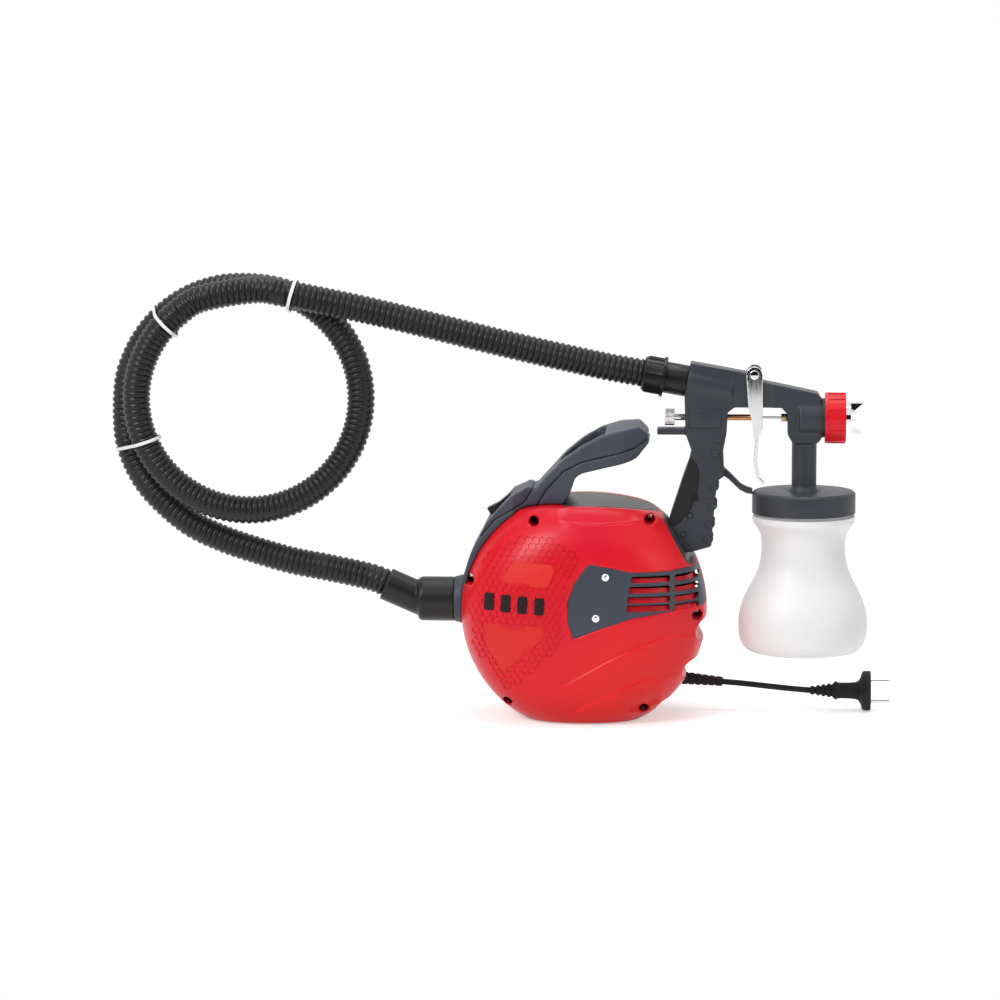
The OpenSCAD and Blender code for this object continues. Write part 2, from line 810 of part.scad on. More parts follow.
module gun_body() {
    color(dark) difference() {
        union() {
            intersection() {
                side_prism(gun_outline, -30, 30);
                union() {
                    side_prism(gun_outline, -grip_half_t, grip_half_t);
                    translate([94, 0, 311]) rotate([0, 90 + 11.6, 0]) cylinder(h = 122, r1 = 16.4, r2 = 12.6);
                    along_x(196, 217, 18.5, nozzle_z);
                }
            }
            translate([cup_x, 0, lid_top_z - 1]) cylinder(h = 50, r = stem_r);
            translate([cup_x, 0, lid_top_z - 1]) cylinder(h = 5, r1 = 14.8, r2 = stem_r);
            side_prism(strap_outline, -4, 4);
            box([66.5, -9, 260.8], [98, 9, 266.6]);
            along_x(215.9, 232, 18, nozzle_z);
            along_y(-barrel_waist, barrel_waist, 6.8, trigger_at[0], trigger_at[1] - 0.4);
        }
        for (side = [-1, 1]) {
            box([135, side > 0 ? barrel_waist : -far, 255], [171, side > 0 ? far : -barrel_waist, far]);
            side_prism(inlay_outline, side > 0 ? grip_half_t - 2.5 : -far, side > 0 ? far : -grip_half_t + 2.5);
        }
        box([plate_at[0][0], -far, plate_at[0][1]], [plate_at[1][0], -grip_half_t + 1, plate_at[1][1]]);
        along_y(-far, far, 2.6, trigger_at[0], trigger_at[1]);
        on_adaptor(-12.5, 1, 11.1);
        translate([102, 0, 300]) rotate([0, 96, 0]) cylinder(h = 106, r = 4.4);
        along_x(206, far, 15, nozzle_z);
        along_x(60, 101, 3 + run_gap, nozzle_z);
        along_x(100, 127, 6, nozzle_z);
        along_x(126, 140, sleeve_r + run_gap, nozzle_z);
        along_x(180, 202, needle_r + run_gap, nozzle_z);
        along_x(185, 193, 3.2, nozzle_z);
        translate([cup_x, 0, lid_top_z - 20]) cylinder(h = nozzle_z - lid_top_z + 20, r = 3.2);
        along_x(cup_x, 210, 2.8, nozzle_z);
        along_x(204, 207, 5.1, nozzle_z);
    }
}

module grip_inlays() {
    color(rubber) for (side = [-1, 1])
        side_prism(inlay_outline, side > 0 ? grip_half_t - 2.5 : -grip_half_t - 0.5,
            side > 0 ? grip_half_t + 0.5 : -grip_half_t + 2.5);
}

module side_plate() {
    color(dark) box([plate_at[0][0] + 0.1, -grip_half_t - 0.6, plate_at[0][1] + 0.1],
        [plate_at[1][0] - 0.1, -grip_half_t + 1, plate_at[1][1] - 0.1]);
}

trigger_cheek = [
    [147.5, 316.7], [162.5, 316.7], [163, 287], [162.5, 277], [163, 267], [159.4, 260], [155, 258],
    [154.5, 267], [152.2, 277], [149.5, 287]
];
trigger_web = [
    [163, 285], [162.5, 277], [163, 267], [159.4, 260], [158, 237], [160.4, 223], [165, 218.5], [163.4, 216.6],
    [157.4, 222], [154.6, 237], [156.4, 261], [159.8, 267], [159.4, 277], [160, 285]
];
cheek_in = 12.6;
cheek_out = 14.6;
cheek_head_r = 7.5;

module trigger() {
    color(chrome) difference() {
        union() {
            for (side = [-1, 1]) {
                y0 = side > 0 ? cheek_in : -cheek_out;
                y1 = side > 0 ? cheek_out : -cheek_in;
                side_prism(trigger_cheek, y0, y1);
                along_y(y0, y1, cheek_head_r, trigger_at[0], trigger_at[1]);
            }
            side_prism(trigger_web, -cheek_out, cheek_out);
        }
        along_y(-far, far, 2.5 + run_gap, trigger_at[0], trigger_at[1]);
        box([150, -2, nozzle_z - 3], [170, 2, nozzle_z + 3]);
    }
}

module trigger_pin() {
    color(chrome) {
        along_y(-15.6, 15.6, 2.5, trigger_at[0], trigger_at[1]);
        for (side = [-1, 1])
            along_y(side > 0 ? 14.7 : -16.2, side > 0 ? 16.2 : -14.7, 4.2, trigger_at[0], trigger_at[1]);
    }
}

needle_tip_x = 236;

module needle() {
    color(chrome) {
        along_x(108.5, needle_tip_x - 4, needle_r, nozzle_z);
        along_x(needle_tip_x - 4, needle_tip_x, needle_r, nozzle_z, 0, 0.3);
    }
}

// The bronze sleeve that the trigger draws back, with its rear flange and its front collar.
module needle_sleeve() {
    color(brass) difference() {
        union() {
            along_x(118, 158.2, sleeve_r, nozzle_z);
            along_x(118, 120.5, 5.6, nozzle_z);
            along_x(154.6, 158.2, 4, nozzle_z);
        }
        along_x(0, far, needle_r, nozzle_z);
    }
}

spring_turns = 5;
spring_x0 = 101.5;
spring_x1 = 117.3;
spring_route = [for (i = [0:spring_turns * 12]) let (a = i * 30)
    [spring_x0 + (spring_x1 - spring_x0) * i / (spring_turns * 12), 4.4 * cos(a), nozzle_z + 4.4 * sin(a)]];

module needle_spring() {
    color(chrome) tube_along(spring_route, 0.6, 6);
}

module fluid_knob() {
    color(chrome) difference() {
        union() {
            along_x(73.5, 82.3, knob_r, nozzle_z);
            along_x(82.3, 100, 3, nozzle_z);
        }
        for (i = [0:17]) translate([70, 0, nozzle_z]) rotate([i * 20, 0, 0]) translate([0, knob_r + 0.5, 0])
            rotate([0, 90, 0]) cylinder(h = 20, r = 1.1, $fn = 16);
    }
}

module gland_nut() {
    color(brass) difference() {
        union() {
            translate([179.6, 0, nozzle_z]) rotate([0, 90, 0]) cylinder(h = 5.6, r = 3.6, $fn = 6);
            along_x(185, 189, 3.1, nozzle_z);
        }
        along_x(0, far, needle_r + run_gap, nozzle_z);
    }
}

module needle_packing() {
    color("white") difference() {
        along_x(189.1, 192.9, 3.1, nozzle_z);
        along_x(0, far, needle_r + run_gap, nozzle_z);
    }
}

module fluid_nozzle() {
    color(chrome) difference() {
        union() {
            along_x(206.2, 208, 9, nozzle_z);
            along_x(204, 232, 5, nozzle_z);
            along_x(232, 238, 5, nozzle_z, 0, 2.2);
        }
        along_x(200, 231, 3.1, nozzle_z);
        along_x(230, 239, needle_r + run_gap, nozzle_z);
    }
}

module air_baffle() {
    color("#e8e4da") difference() {
        along_x(221, 224, 14.9, nozzle_z);
        along_x(0, far, 5.1, nozzle_z);
        for (i = [0:7]) translate([210, 0, nozzle_z]) rotate([i * 45, 0, 0]) translate([0, 10, 0])
            rotate([0, 90, 0]) cylinder(h = 20, r = 2);
    }
}

horn_outline = [[241.6, 18], [257, 18], [255.4, 15], [246, 6.9], [241.6, 6.9]];

module air_cap() {
    color(chrome) difference() {
        union() {
            along_x(232.2, 235, 17.8, nozzle_z);
            along_x(235, 243, cap_r, nozzle_z);
            along_x(243, 247, 10.5, nozzle_z, 0, 8.5);
            intersection() {
                along_x(240, 258, cap_r - 0.4, nozzle_z);
                for (side = [0, 180]) translate([0, 0, nozzle_z]) rotate([side, 0, 0])
                    side_prism(horn_outline, -5, 5);
            }
        }
        along_x(230, 241, 12.5, nozzle_z);
        along_x(230, 250, 2.6, nozzle_z);
    }
}

module cap_ring() {
    color(body_red) difference() {
        union() {
            along_x(219.6, 222.4, ring_r, nozzle_z);
            along_x(222.4, 238.6, ring_r - 0.8, nozzle_z);
            for (i = [0:11]) translate([0, 0, nozzle_z]) rotate([i * 30, 0, 0])
                box([222.4, -2.2, ring_r - 1.6], [238.2, 2.2, ring_r]);
        }
        along_x(219, 235.2, 18 + run_gap, nozzle_z);
        along_x(235, 240, cap_r + 0.2, nozzle_z);
    }
}

lid_low_z = lid_top_z - lid_h;
cup_top_z = lid_top_z - 3.6;
gasket_t = 1.5;

module cup_lid() {
    color(dark) difference() {
        union() {
            translate([cup_x, 0, lid_low_z]) cylinder(h = lid_h - 2, r = lid_r);
            translate([cup_x, 0, lid_top_z - 2]) cylinder(h = 2, r1 = lid_r, r2 = lid_r - 2);
        }
        translate([cup_x, 0, lid_low_z - 1]) cylinder(h = lid_h - 1, r = 43.6);
        translate([cup_x, 0, lid_low_z]) cylinder(h = far, r = 14.9);
        box([140, -4.2, lid_top_z - 3.4], [157, 4.2, lid_top_z + 5]);
    }
}

module lid_gasket() {
    color("white") difference() {
        translate([cup_x, 0, cup_top_z]) cylinder(h = gasket_t, r = 43.2);
        translate([cup_x, 0, 0]) cylinder(h = far, r = 38);
    }
}

// Half section of the cup's outside, from the bottom's centre to the mouth.
cup_outer = [
    [0, 60], [46, 60], [53.5, 63.5], [58, 71], [59.5, 84], [58.6, 97], [55, 109], [49.5, 120], [43.5, 131],
    [39.6, 142], [38.1, 153], [38.1, 163], [40, 172], [44.5, 178], [46.8, 181], [46.8, lid_low_z - 2.6],
    [43.4, lid_low_z - 2.6], [43.4, cup_top_z], [0, cup_top_z]
];

module paint_cup() {
    w = cup_wall;
    color("white") translate([cup_x, 0, 0]) difference() {
        rotate_extrude() polygon(cup_outer);
        rotate_extrude() polygon([
            [0, 60 + w], [45, 60 + w], [52, 65.5], [56, 72], [59.5 - w, 84], [58.6 - w, 96], [55 - w, 108],
            [49.5 - w, 119], [43.5 - w, 130], [39.6 - w, 141.5], [38.1 - w, 153], [38.1 - w, 163.4],
            [40 - w, 173], [41, 179], [41, far], [0, far]
        ]);
    }
}

// Pick-up tube, bent forward at its foot to reach the cup's corner.
module dip_tube() {
    color("#dddddd") difference() {
        union() {
            translate([cup_x, 0, 96]) cylinder(h = 144, r = 3.1);
            translate([cup_x, 0, 96]) sphere(r = 3.5);
            translate([cup_x, 0, 96]) rotate([0, 132, 0]) cylinder(h = 44, r = 2.95);
        }
        translate([cup_x, 0, 96]) cylinder(h = far, r = 2);
        translate([cup_x, 0, 96]) rotate([0, 132, 0]) cylinder(h = far, r = 1.8);
    }
}

shell_front();
shell_rear();
rubber_sole();
top_plate();
holster_liner();
handle_upper();
handle_lower();
switch_panel();
rocker_switch();
switch_body();
grille_front();
grille_rear();
grille_screws();
shell_screws();
filter_foam();
outlet_ring();
hose_elbow();
turbine_housing();
turbine_backplate();
rubber_mounts();
impeller();
motor_can();
armature_shaft();
front_bearing();
rear_bearing();
carbon_brushes();
air_hose();
hose_ties();
cord_boot();
power_cord();
plug_body();
plug_pins();
hose_nut();
gun_adaptor();
gun_body();
grip_inlays();
side_plate();
trigger();
trigger_pin();
needle();
needle_sleeve();
needle_spring();
fluid_knob();
gland_nut();
needle_packing();
fluid_nozzle();
air_baffle();
air_cap();
cap_ring();
cup_lid();
lid_gasket();
paint_cup();
dip_tube();
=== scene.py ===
# %% [markdown]
# # A turbine paint sprayer
# A round red turbine unit stands on a pale floor with its spray gun in its holster, and a ribbed hose joins
# the two. The CAD model is loaded first and stays where it is. Everything else is built round it, in
# metres, in the same frame: X points to the gun's nozzle, Y to the back and Z up.

# %% Load the frame
import math

import bpy
from mathutils import Matrix, Vector


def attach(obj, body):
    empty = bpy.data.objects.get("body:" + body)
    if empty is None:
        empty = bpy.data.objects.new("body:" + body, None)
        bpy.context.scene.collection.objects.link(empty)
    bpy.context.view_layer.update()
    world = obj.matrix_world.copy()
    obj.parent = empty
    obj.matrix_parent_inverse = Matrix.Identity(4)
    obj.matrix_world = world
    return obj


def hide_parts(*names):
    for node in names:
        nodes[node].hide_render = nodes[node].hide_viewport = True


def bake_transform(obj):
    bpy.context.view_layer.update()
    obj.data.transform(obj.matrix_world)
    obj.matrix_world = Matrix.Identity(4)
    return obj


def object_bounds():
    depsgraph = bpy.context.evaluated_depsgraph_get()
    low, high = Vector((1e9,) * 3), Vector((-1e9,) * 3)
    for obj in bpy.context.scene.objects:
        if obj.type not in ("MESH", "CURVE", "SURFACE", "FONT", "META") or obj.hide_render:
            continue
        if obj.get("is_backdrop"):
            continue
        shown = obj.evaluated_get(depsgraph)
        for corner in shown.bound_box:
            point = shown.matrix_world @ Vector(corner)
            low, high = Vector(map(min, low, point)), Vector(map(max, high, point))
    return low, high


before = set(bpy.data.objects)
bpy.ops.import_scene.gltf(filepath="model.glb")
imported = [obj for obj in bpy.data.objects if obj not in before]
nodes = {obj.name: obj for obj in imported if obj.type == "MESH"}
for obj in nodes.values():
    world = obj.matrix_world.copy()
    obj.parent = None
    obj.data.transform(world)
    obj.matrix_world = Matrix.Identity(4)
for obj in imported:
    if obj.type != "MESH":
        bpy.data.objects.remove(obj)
cad_low, cad_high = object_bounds()
MM = 0.001
print("CAD nodes:", len(nodes))

# %% [markdown]
# ## Camera
# Product pictures are taken with a long lens from a little above, which keeps upright lines upright. The
# camera looks from slightly right of the front, at a point between the hose's loop and the unit.

# %% Camera
CAMERA_AZIMUTH = 3.0
CAMERA_ELEVATION = 7.5
CAMERA_DISTANCE = 4.0
PICTURE_WIDTH = 0.92
TARGET = Vector((-77.8, 0.0, 198.5)) * MM

camera = bpy.data.objects.new("camera", bpy.data.cameras.new("camera"))
bpy.context.scene.collection.objects.link(camera)
azimuth, elevation = math.radians(CAMERA_AZIMUTH), math.radians(CAMERA_ELEVATION)
back = Vector((
    math.sin(azimuth) * math.cos(elevation),
    -math.cos(azimuth) * math.cos(elevation),
    math.sin(elevation),
))
camera.location = TARGET + back * CAMERA_DISTANCE
camera.rotation_mode = "QUATERNION"
camera.rotation_quaternion = (-back).to_track_quat("-Z", "Y")
camera.data.sensor_width = 36.0
camera.data.lens = camera.data.sensor_width * CAMERA_DISTANCE / PICTURE_WIDTH
camera.data.clip_start, camera.data.clip_end = 0.1, 50.0
bpy.context.scene.camera = camera
print("lens:", round(camera.data.lens, 1), "mm")

# %% [markdown]
# ## Routes of the hose and the cord
# A hose is a length of something flexible, so it is described by the line that its middle follows. The
# points are the ones that the CAD model uses. A smooth curve is laid through them, because a real hose has
# no corners.

# %% Routes


def up_to_the_left(degrees):
    """The direction that points left and rises by an angle."""
    slope = math.radians(degrees)
    return Vector((-math.cos(slope), 0, math.sin(slope)))


HOSE_R = 13.0
SOCKET = 9.0
NUT_DIR, NUT_LEN = up_to_the_left(10), 41
NUT_END = Vector((93.7, 0.0, 309.4)) + NUT_DIR * NUT_LEN
CUFF_DIR, CUFF_LEN = up_to_the_left(23.4), 32
CUFF_END = Vector((-154.0, 0.0, 107.4)) + CUFF_DIR * CUFF_LEN
LOOP_CENTRE = (-309.0, 290.5)
LOOP_R = 102.5
LOOP_HALF_Y = 13.5
LOOP_START, LOOP_END, LOOP_STEP = 114, 540, 14
WIDENS_FROM, WIDENS_BY = 450, 13.0
CROSSES_FROM, CROSSES_OVER = 180, 205


def loop_point(angle):
    """A point of the hose's loop, which widens over its last quarter and passes from front to back."""
    grow = WIDENS_BY * max(0, angle - WIDENS_FROM) / (LOOP_END - WIDENS_FROM)
    ramp = min(1.0, max(0.0, (angle - CROSSES_FROM) / CROSSES_OVER))
    turn = math.radians(angle)
    return Vector((
        LOOP_CENTRE[0] + (LOOP_R + grow) * math.cos(turn),
        LOOP_HALF_Y * (2 * ramp - 1),
        LOOP_CENTRE[1] + (LOOP_R + grow) * math.sin(turn),
    ))


HOSE_POINTS = [
    NUT_END - NUT_DIR * SOCKET, NUT_END,
    *(Vector(p) for p in (
        (22, 0, 322), (-14, 0, 329.5), (-52, -1, 338), (-90, -2, 347), (-128, -4, 356.5), (-166, -7, 366),
        (-204, -10, 375), (-242, -12, 383), (-276, -13.5, 389.5), (-302, -13.5, 392.6),
    )),
    *(loop_point(a) for a in range(LOOP_START, LOOP_END + 1, LOOP_STEP)),
    *(Vector(p) for p in (
        (-424, 13, 262), (-419, 13, 238), (-407, 12, 214), (-389, 12, 193), (-364, 11, 173), (-334, 9, 159),
        (-300, 7, 148), (-268, 5, 139.5), (-238, 2, 134.5),
    )),
    CUFF_END + CUFF_DIR * 14, CUFF_END - CUFF_DIR * SOCKET,
]
CORD_R = 2.75
CORD_Y = 30.0
BOOT_AT = Vector((84.0, CORD_Y, 29.7))
BOOT_SLOPE = math.radians(5)
BOOT_DIR = Vector((math.cos(BOOT_SLOPE), 0, -math.sin(BOOT_SLOPE)))
BOOT_LEN = 44.0
PLUG_X = 209.0
PLUG_R = 18.4
CORD_POINTS = [
    BOOT_AT + BOOT_DIR * BOOT_LEN,
    *(Vector((x, CORD_Y, z)) for x, z in (
        (141, 24.8), (155, 23.5), (169, 22), (183, 20.6), (196, 19.4), (PLUG_X, PLUG_R),
    )),
]


def smooth_line(points, step, parts=16):
    """Points about a step apart on a smooth curve through the given ones, and its length."""
    fine = []
    for i in range(len(points) - 1):
        before = points[max(i - 1, 0)]
        after = points[min(i + 2, len(points) - 1)]
        a, b = points[i], points[i + 1]
        for k in range(parts):
            t = k / parts
            fine.append(0.5 * (
                2 * a + (b - before) * t + (2 * before - 5 * a + 4 * b - after) * t ** 2
                + (3 * a - before - 3 * b + after) * t ** 3
            ))
    fine.append(points[-1])
    lengths = [0.0]
    for p, q in zip(fine, fine[1:]):
        lengths.append(lengths[-1] + (q - p).length)
    count = max(2, round(lengths[-1] / step))
    out, j = [], 0
    for k in range(count + 1):
        s = lengths[-1] * k / count
        while j < len(fine) - 2 and lengths[j + 1] < s:
            j += 1
        span = max(lengths[j + 1] - lengths[j], 1e-9)
        out.append(fine[j].lerp(fine[j + 1], min(1.0, (s - lengths[j]) / span)))
    return out, lengths[-1]


hose_line, hose_length = smooth_line(HOSE_POINTS, 1.35)
cord_line, cord_length = smooth_line(CORD_POINTS, 2.0)
print("hose:", round(hose_length), "mm, cord:", round(cord_length), "mm")

# %% [markdown]
# ## Tools for making materials
# Moulded plastic is never one flat colour: it has a fine spark-eroded grain, slow changes of shade and dull
# patches where hands and dust have been. These effects are shared, so each is a node group that is built
# once and given its own values in every material.

# %% Node groups


def new_group(name, inputs, outputs):
    """A shader group with named sockets and nothing in it yet."""
    group = bpy.data.node_groups.new(name, "ShaderNodeTree")
    for socket, kind, value in inputs:
        made = group.interface.new_socket(name=socket, in_out="INPUT", socket_type=kind)
        made.default_value = value
    for socket, kind in outputs:
        group.interface.new_socket(name=socket, in_out="OUTPUT", socket_type=kind)
    return group, group.nodes.new("NodeGroupInput"), group.nodes.new("NodeGroupOutput")


def grain_group():
    """Fine grain for a bump, and a slow cloud for shade and gloss."""
    group, given, result = new_group(
        "moulded_grain",
        [("Grain Scale", "NodeSocketFloat", 900.0), ("Cloud Scale", "NodeSocketFloat", 14.0)],
        [("Grain", "NodeSocketFloat"), ("Cloud", "NodeSocketFloat")],
    )
    place = group.nodes.new("ShaderNodeTexCoord")
    fine = group.nodes.new("ShaderNodeTexNoise")
    fine.inputs["Detail"].default_value = 2.0
    slow = group.nodes.new("ShaderNodeTexNoise")
    slow.inputs["Detail"].default_value = 4.0
    link = group.links.new
    link(place.outputs["Object"], fine.inputs["Vector"])
    link(place.outputs["Object"], slow.inputs["Vector"])
    link(given.outputs["Grain Scale"], fine.inputs["Scale"])
    link(given.outputs["Cloud Scale"], slow.inputs["Scale"])
    link(fine.outputs["Fac"], result.inputs["Grain"])
    link(slow.outputs["Fac"], result.inputs["Cloud"])
    return group


def brushed_group():
    """Fine turned lines for machined and plated metal, stretched along one axis."""
    group, given, result = new_group(
        "turned_lines",
        [("Scale", "NodeSocketFloat", 400.0)],
        [("Lines", "NodeSocketFloat")],
    )
    place = group.nodes.new("ShaderNodeTexCoord")
    stretch = group.nodes.new("ShaderNodeMapping")
    stretch.inputs["Scale"].default_value = (6.0, 0.4, 0.4)
    noise_node = group.nodes.new("ShaderNodeTexNoise")
    noise_node.inputs["Detail"].default_value = 3.0
    link = group.links.new
    link(place.outputs["Object"], stretch.inputs["Vector"])
    link(stretch.outputs["Vector"], noise_node.inputs["Vector"])
    link(given.outputs["Scale"], noise_node.inputs["Scale"])
    link(noise_node.outputs["Fac"], result.inputs["Lines"])
    return group


GRAIN = grain_group()
TURNED = brushed_group()

# %% [markdown]
# ## Plastic, rubber and metal
# One recipe makes every plastic and rubber on the sprayer. Two close shades are mixed by the slow cloud,
# the same cloud moves the roughness a little, and the fine grain feeds a bump. Metals use turned lines in
# place of the grain.

# %% Materials
METAL_DARK = 0.86


def mapped(tree, value, source, target=(0.0, 1.0)):
    """A value of a shader moved from one range to another."""
    node = tree.nodes.new("ShaderNodeMapRange")
    node.inputs["From Min"].default_value, node.inputs["From Max"].default_value = source
    node.inputs["To Min"].default_value, node.inputs["To Max"].default_value = target
    tree.links.new(value, node.inputs["Value"])
    return node.outputs["Result"]


def ramp_between(tree, factor, low, high):
    """The middle range of a noise as a value between low and high."""
    return mapped(tree, factor, (0.3, 0.7), (low, high))


def patterned(name, group):
    """A new material with one of the node groups in it."""
    material = bpy.data.materials.new(name)
    material.use_nodes = True
    texture = material.node_tree.nodes.new("ShaderNodeGroup")
    texture.node_tree = group
    return material, texture


def surface(tree, cloud, height, dark, light, rough, bump):
    """One pattern mixes two shades and moves the roughness, and another, or the same, feeds a bump."""
    shader = tree.nodes["Principled BSDF"]
    shade = tree.nodes.new("ShaderNodeMix")
    shade.data_type = "RGBA"
    shade.inputs["A"].default_value = (*dark, 1)
    shade.inputs["B"].default_value = (*light, 1)
    tree.links.new(ramp_between(tree, cloud, 0.0, 1.0), shade.inputs["Factor"])
    tree.links.new(shade.outputs["Result"], shader.inputs["Base Color"])
    tree.links.new(ramp_between(tree, cloud, *rough), shader.inputs["Roughness"])
    relief = tree.nodes.new("ShaderNodeBump")
    relief.inputs["Distance"].default_value = bump * MM
    tree.links.new(height, relief.inputs["Height"])
    tree.links.new(relief.outputs["Normal"], shader.inputs["Normal"])
    return shader


def moulded(name, dark, light, rough=(0.35, 0.45), grain=900.0, bump=0.05, cloud=14.0, gloss=0.3, coat=0.0,
            clear=0.0):
    """A moulded plastic or rubber with two shades, a grain and a slow change of gloss."""
    material, texture = patterned(name, GRAIN)
    texture.inputs["Grain Scale"].default_value = grain
    texture.inputs["Cloud Scale"].default_value = cloud
    cloudy, grainy = texture.outputs["Cloud"], texture.outputs["Grain"]
    shader = surface(material.node_tree, cloudy, grainy, dark, light, rough, bump)
    shader.inputs["Specular IOR Level"].default_value = gloss
    shader.inputs["Coat Weight"].default_value = coat
    shader.inputs["Coat Roughness"].default_value = 0.12
    if clear:
        shader.inputs["Subsurface Weight"].default_value = clear
        shader.inputs["Subsurface Radius"].default_value = (0.02, 0.02, 0.02)
        shader.inputs["Subsurface Scale"].default_value = 0.25
    return material


def metal(name, colour, rough=(0.1, 0.2), scale=400.0, bump=0.01):
    """A metal whose fine turned lines move its gloss and stand in a slight bump."""
    material, texture = patterned(name, TURNED)
    texture.inputs["Scale"].default_value = scale
    dark, lines = [METAL_DARK * c for c in colour], texture.outputs["Lines"]
    shader = surface(material.node_tree, lines, lines, dark, colour, rough, bump)
    shader.inputs["Metallic"].default_value = 1.0
    return material


CASE_RED = moulded(
    "case_red", (0.64, 0.003, 0.022), (0.73, 0.014, 0.012), rough=(0.34, 0.42), grain=700, bump=0.02, cloud=7,
    gloss=0.24, coat=0.06,
)
PANEL_RED = moulded(
    "panel_red", (0.64, 0.020, 0.018), (0.70, 0.026, 0.020), rough=(0.42, 0.5), grain=500, bump=0.04,
    gloss=0.22,
)
BAR_DARK = moulded("bar_dark", (0.010, 0.006, 0.006), (0.016, 0.008, 0.008), rough=(0.4, 0.5), gloss=0.2)
SLATE = moulded(
    "slate_plastic", (0.040, 0.047, 0.066), (0.056, 0.063, 0.084), rough=(0.42, 0.52), grain=800, cloud=10,
)
GRAPHITE = moulded(
    "graphite_plastic", (0.029, 0.033, 0.041), (0.042, 0.047, 0.057), rough=(0.38, 0.48), bump=0.04,
)
BLACK = moulded(
    "black_plastic", (0.006, 0.005, 0.007), (0.011, 0.010, 0.012), rough=(0.3, 0.42), grain=700, gloss=0.26,
)
HOSE_BLACK = moulded(
    "hose_black", (0.009, 0.008, 0.010), (0.015, 0.014, 0.017), rough=(0.30, 0.42), grain=500, bump=0.03,
    gloss=0.28,
)
RUBBER = moulded(
    "black_rubber", (0.010, 0.010, 0.011), (0.020, 0.019, 0.020), rough=(0.6, 0.75), grain=600, bump=0.06,
    gloss=0.26,
)
WHITE = moulded(
    "milky_plastic", (0.82, 0.82, 0.82), (0.88, 0.88, 0.88), rough=(0.36, 0.46), grain=300, bump=0.02,
    clear=0.25,
)
NYLON = moulded("nylon_white", (0.75, 0.75, 0.73), (0.82, 0.82, 0.80), rough=(0.4, 0.5))
FOAM = moulded("filter_foam", (0.02, 0.02, 0.02), (0.05, 0.05, 0.05), rough=(0.9, 1.0), grain=350, bump=0.6)
CHROME = metal("chrome_plate", (0.86, 0.86, 0.87), rough=(0.04, 0.10), scale=150, bump=0.002)
STEEL = metal("turned_steel", (0.60, 0.60, 0.61), rough=(0.22, 0.34))
BRONZE = metal("bronze", (0.48, 0.24, 0.11), rough=(0.22, 0.34))
BRASS = metal("brass", (0.62, 0.46, 0.20), rough=(0.2, 0.32))
ALUMINIUM = metal("cast_aluminium", (0.70, 0.70, 0.72), rough=(0.3, 0.45), scale=200, bump=0.02)
print("materials:", len(bpy.data.materials))

# %% [markdown]
# ## Tools for making pieces
# A CAD node has exact faces but knife-sharp edges, and light never catches such an edge. Two helpers make a
# moulded copy of a node. `crisp` merges the copy's loose triangles and bevels its edges, for turned and
# machined pieces. `melted` rebuilds the copy in small cells and relaxes them, which rounds every edge as a
# mould or a casting does.

# %% Piece tools


def nothing_selected():
    """Leaves edit mode and deselects everything."""
    if bpy.context.object and bpy.context.object.mode != "OBJECT":
        bpy.ops.object.mode_set(mode="OBJECT")
    bpy.ops.object.select_all(action="DESELECT")


def only(obj):
    """Makes one object the selected and active one."""
    nothing_selected()
    obj.select_set(True)
    bpy.context.view_layer.objects.active = obj
    return obj


def outward(obj, merge=0.0):
    """Turns every face of a piece outwards, after points closer than merge metres have become one."""
    only(obj)
    bpy.ops.object.mode_set(mode="EDIT")
    bpy.ops.mesh.select_all(action="SELECT")
    if merge:
        bpy.ops.mesh.remove_doubles(threshold=merge)
    bpy.ops.mesh.normals_make_consistent(inside=False)
    bpy.ops.object.mode_set(mode="OBJECT")
    return obj


def apply_all(obj):
    """Applies every modifier, so that the mesh is what shows."""
    only(obj)
    for modifier in list(obj.modifiers):
        bpy.ops.object.modifier_apply(modifier=modifier.name)
    return obj


def settle(obj, material, body, smooth=35):
    """Puts a finished piece's place into its mesh, gives it its material and hangs it on its CAD body."""
    only(obj)
    bpy.ops.object.transform_apply(location=True, rotation=True, scale=True)
    obj.data.materials.clear()
    obj.data.materials.append(material)
    bpy.ops.object.shade_smooth_by_angle(angle=math.radians(smooth))
    if body:
        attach(obj, body)
    return obj


def mesh_object(name, verts, faces):
    """A new object from points in millimetres."""
    mesh = bpy.data.meshes.new(name)
    mesh.from_pydata([tuple(c * MM for c in v) for v in verts], [], faces)
    mesh.update()
    obj = bpy.data.objects.new(name, mesh)
    bpy.context.scene.collection.objects.link(obj)
    return obj


def copy_of(node, name):
    """A copy of a CAD node with its own mesh and its loose triangles merged."""
    obj = bpy.data.objects.new(name, nodes[node].data.copy())
    bpy.context.scene.collection.objects.link(obj)
    obj.data.materials.clear()
    only(obj)
    bpy.ops.object.mode_set(mode="EDIT")
    bpy.ops.mesh.select_all(action="SELECT")
    bpy.ops.mesh.remove_doubles(threshold=0.00001)
    bpy.ops.object.mode_set(mode="OBJECT")
    return obj


def crisp(node, name, material, body, width=0.4, segments=2, smooth=30):
    """A copy of a node with flat areas joined and sharp edges bevelled. It stands for the node."""
    obj = only(copy_of(node, name))
    bpy.ops.object.mode_set(mode="EDIT")
    bpy.ops.mesh.select_all(action="SELECT")
    bpy.ops.mesh.dissolve_limited(angle_limit=math.radians(0.5))
    bpy.ops.object.mode_set(mode="OBJECT")
    bevel = obj.modifiers.new("edge", "BEVEL")
    bevel.width = width * MM
    bevel.segments = segments
    bevel.limit_method = "ANGLE"
    bevel.angle_limit = math.radians(smooth)
    bevel.use_clamp_overlap = True
    apply_all(obj)
    settle(obj, material, body, smooth=smooth + 5)
    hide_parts(node)
    return obj


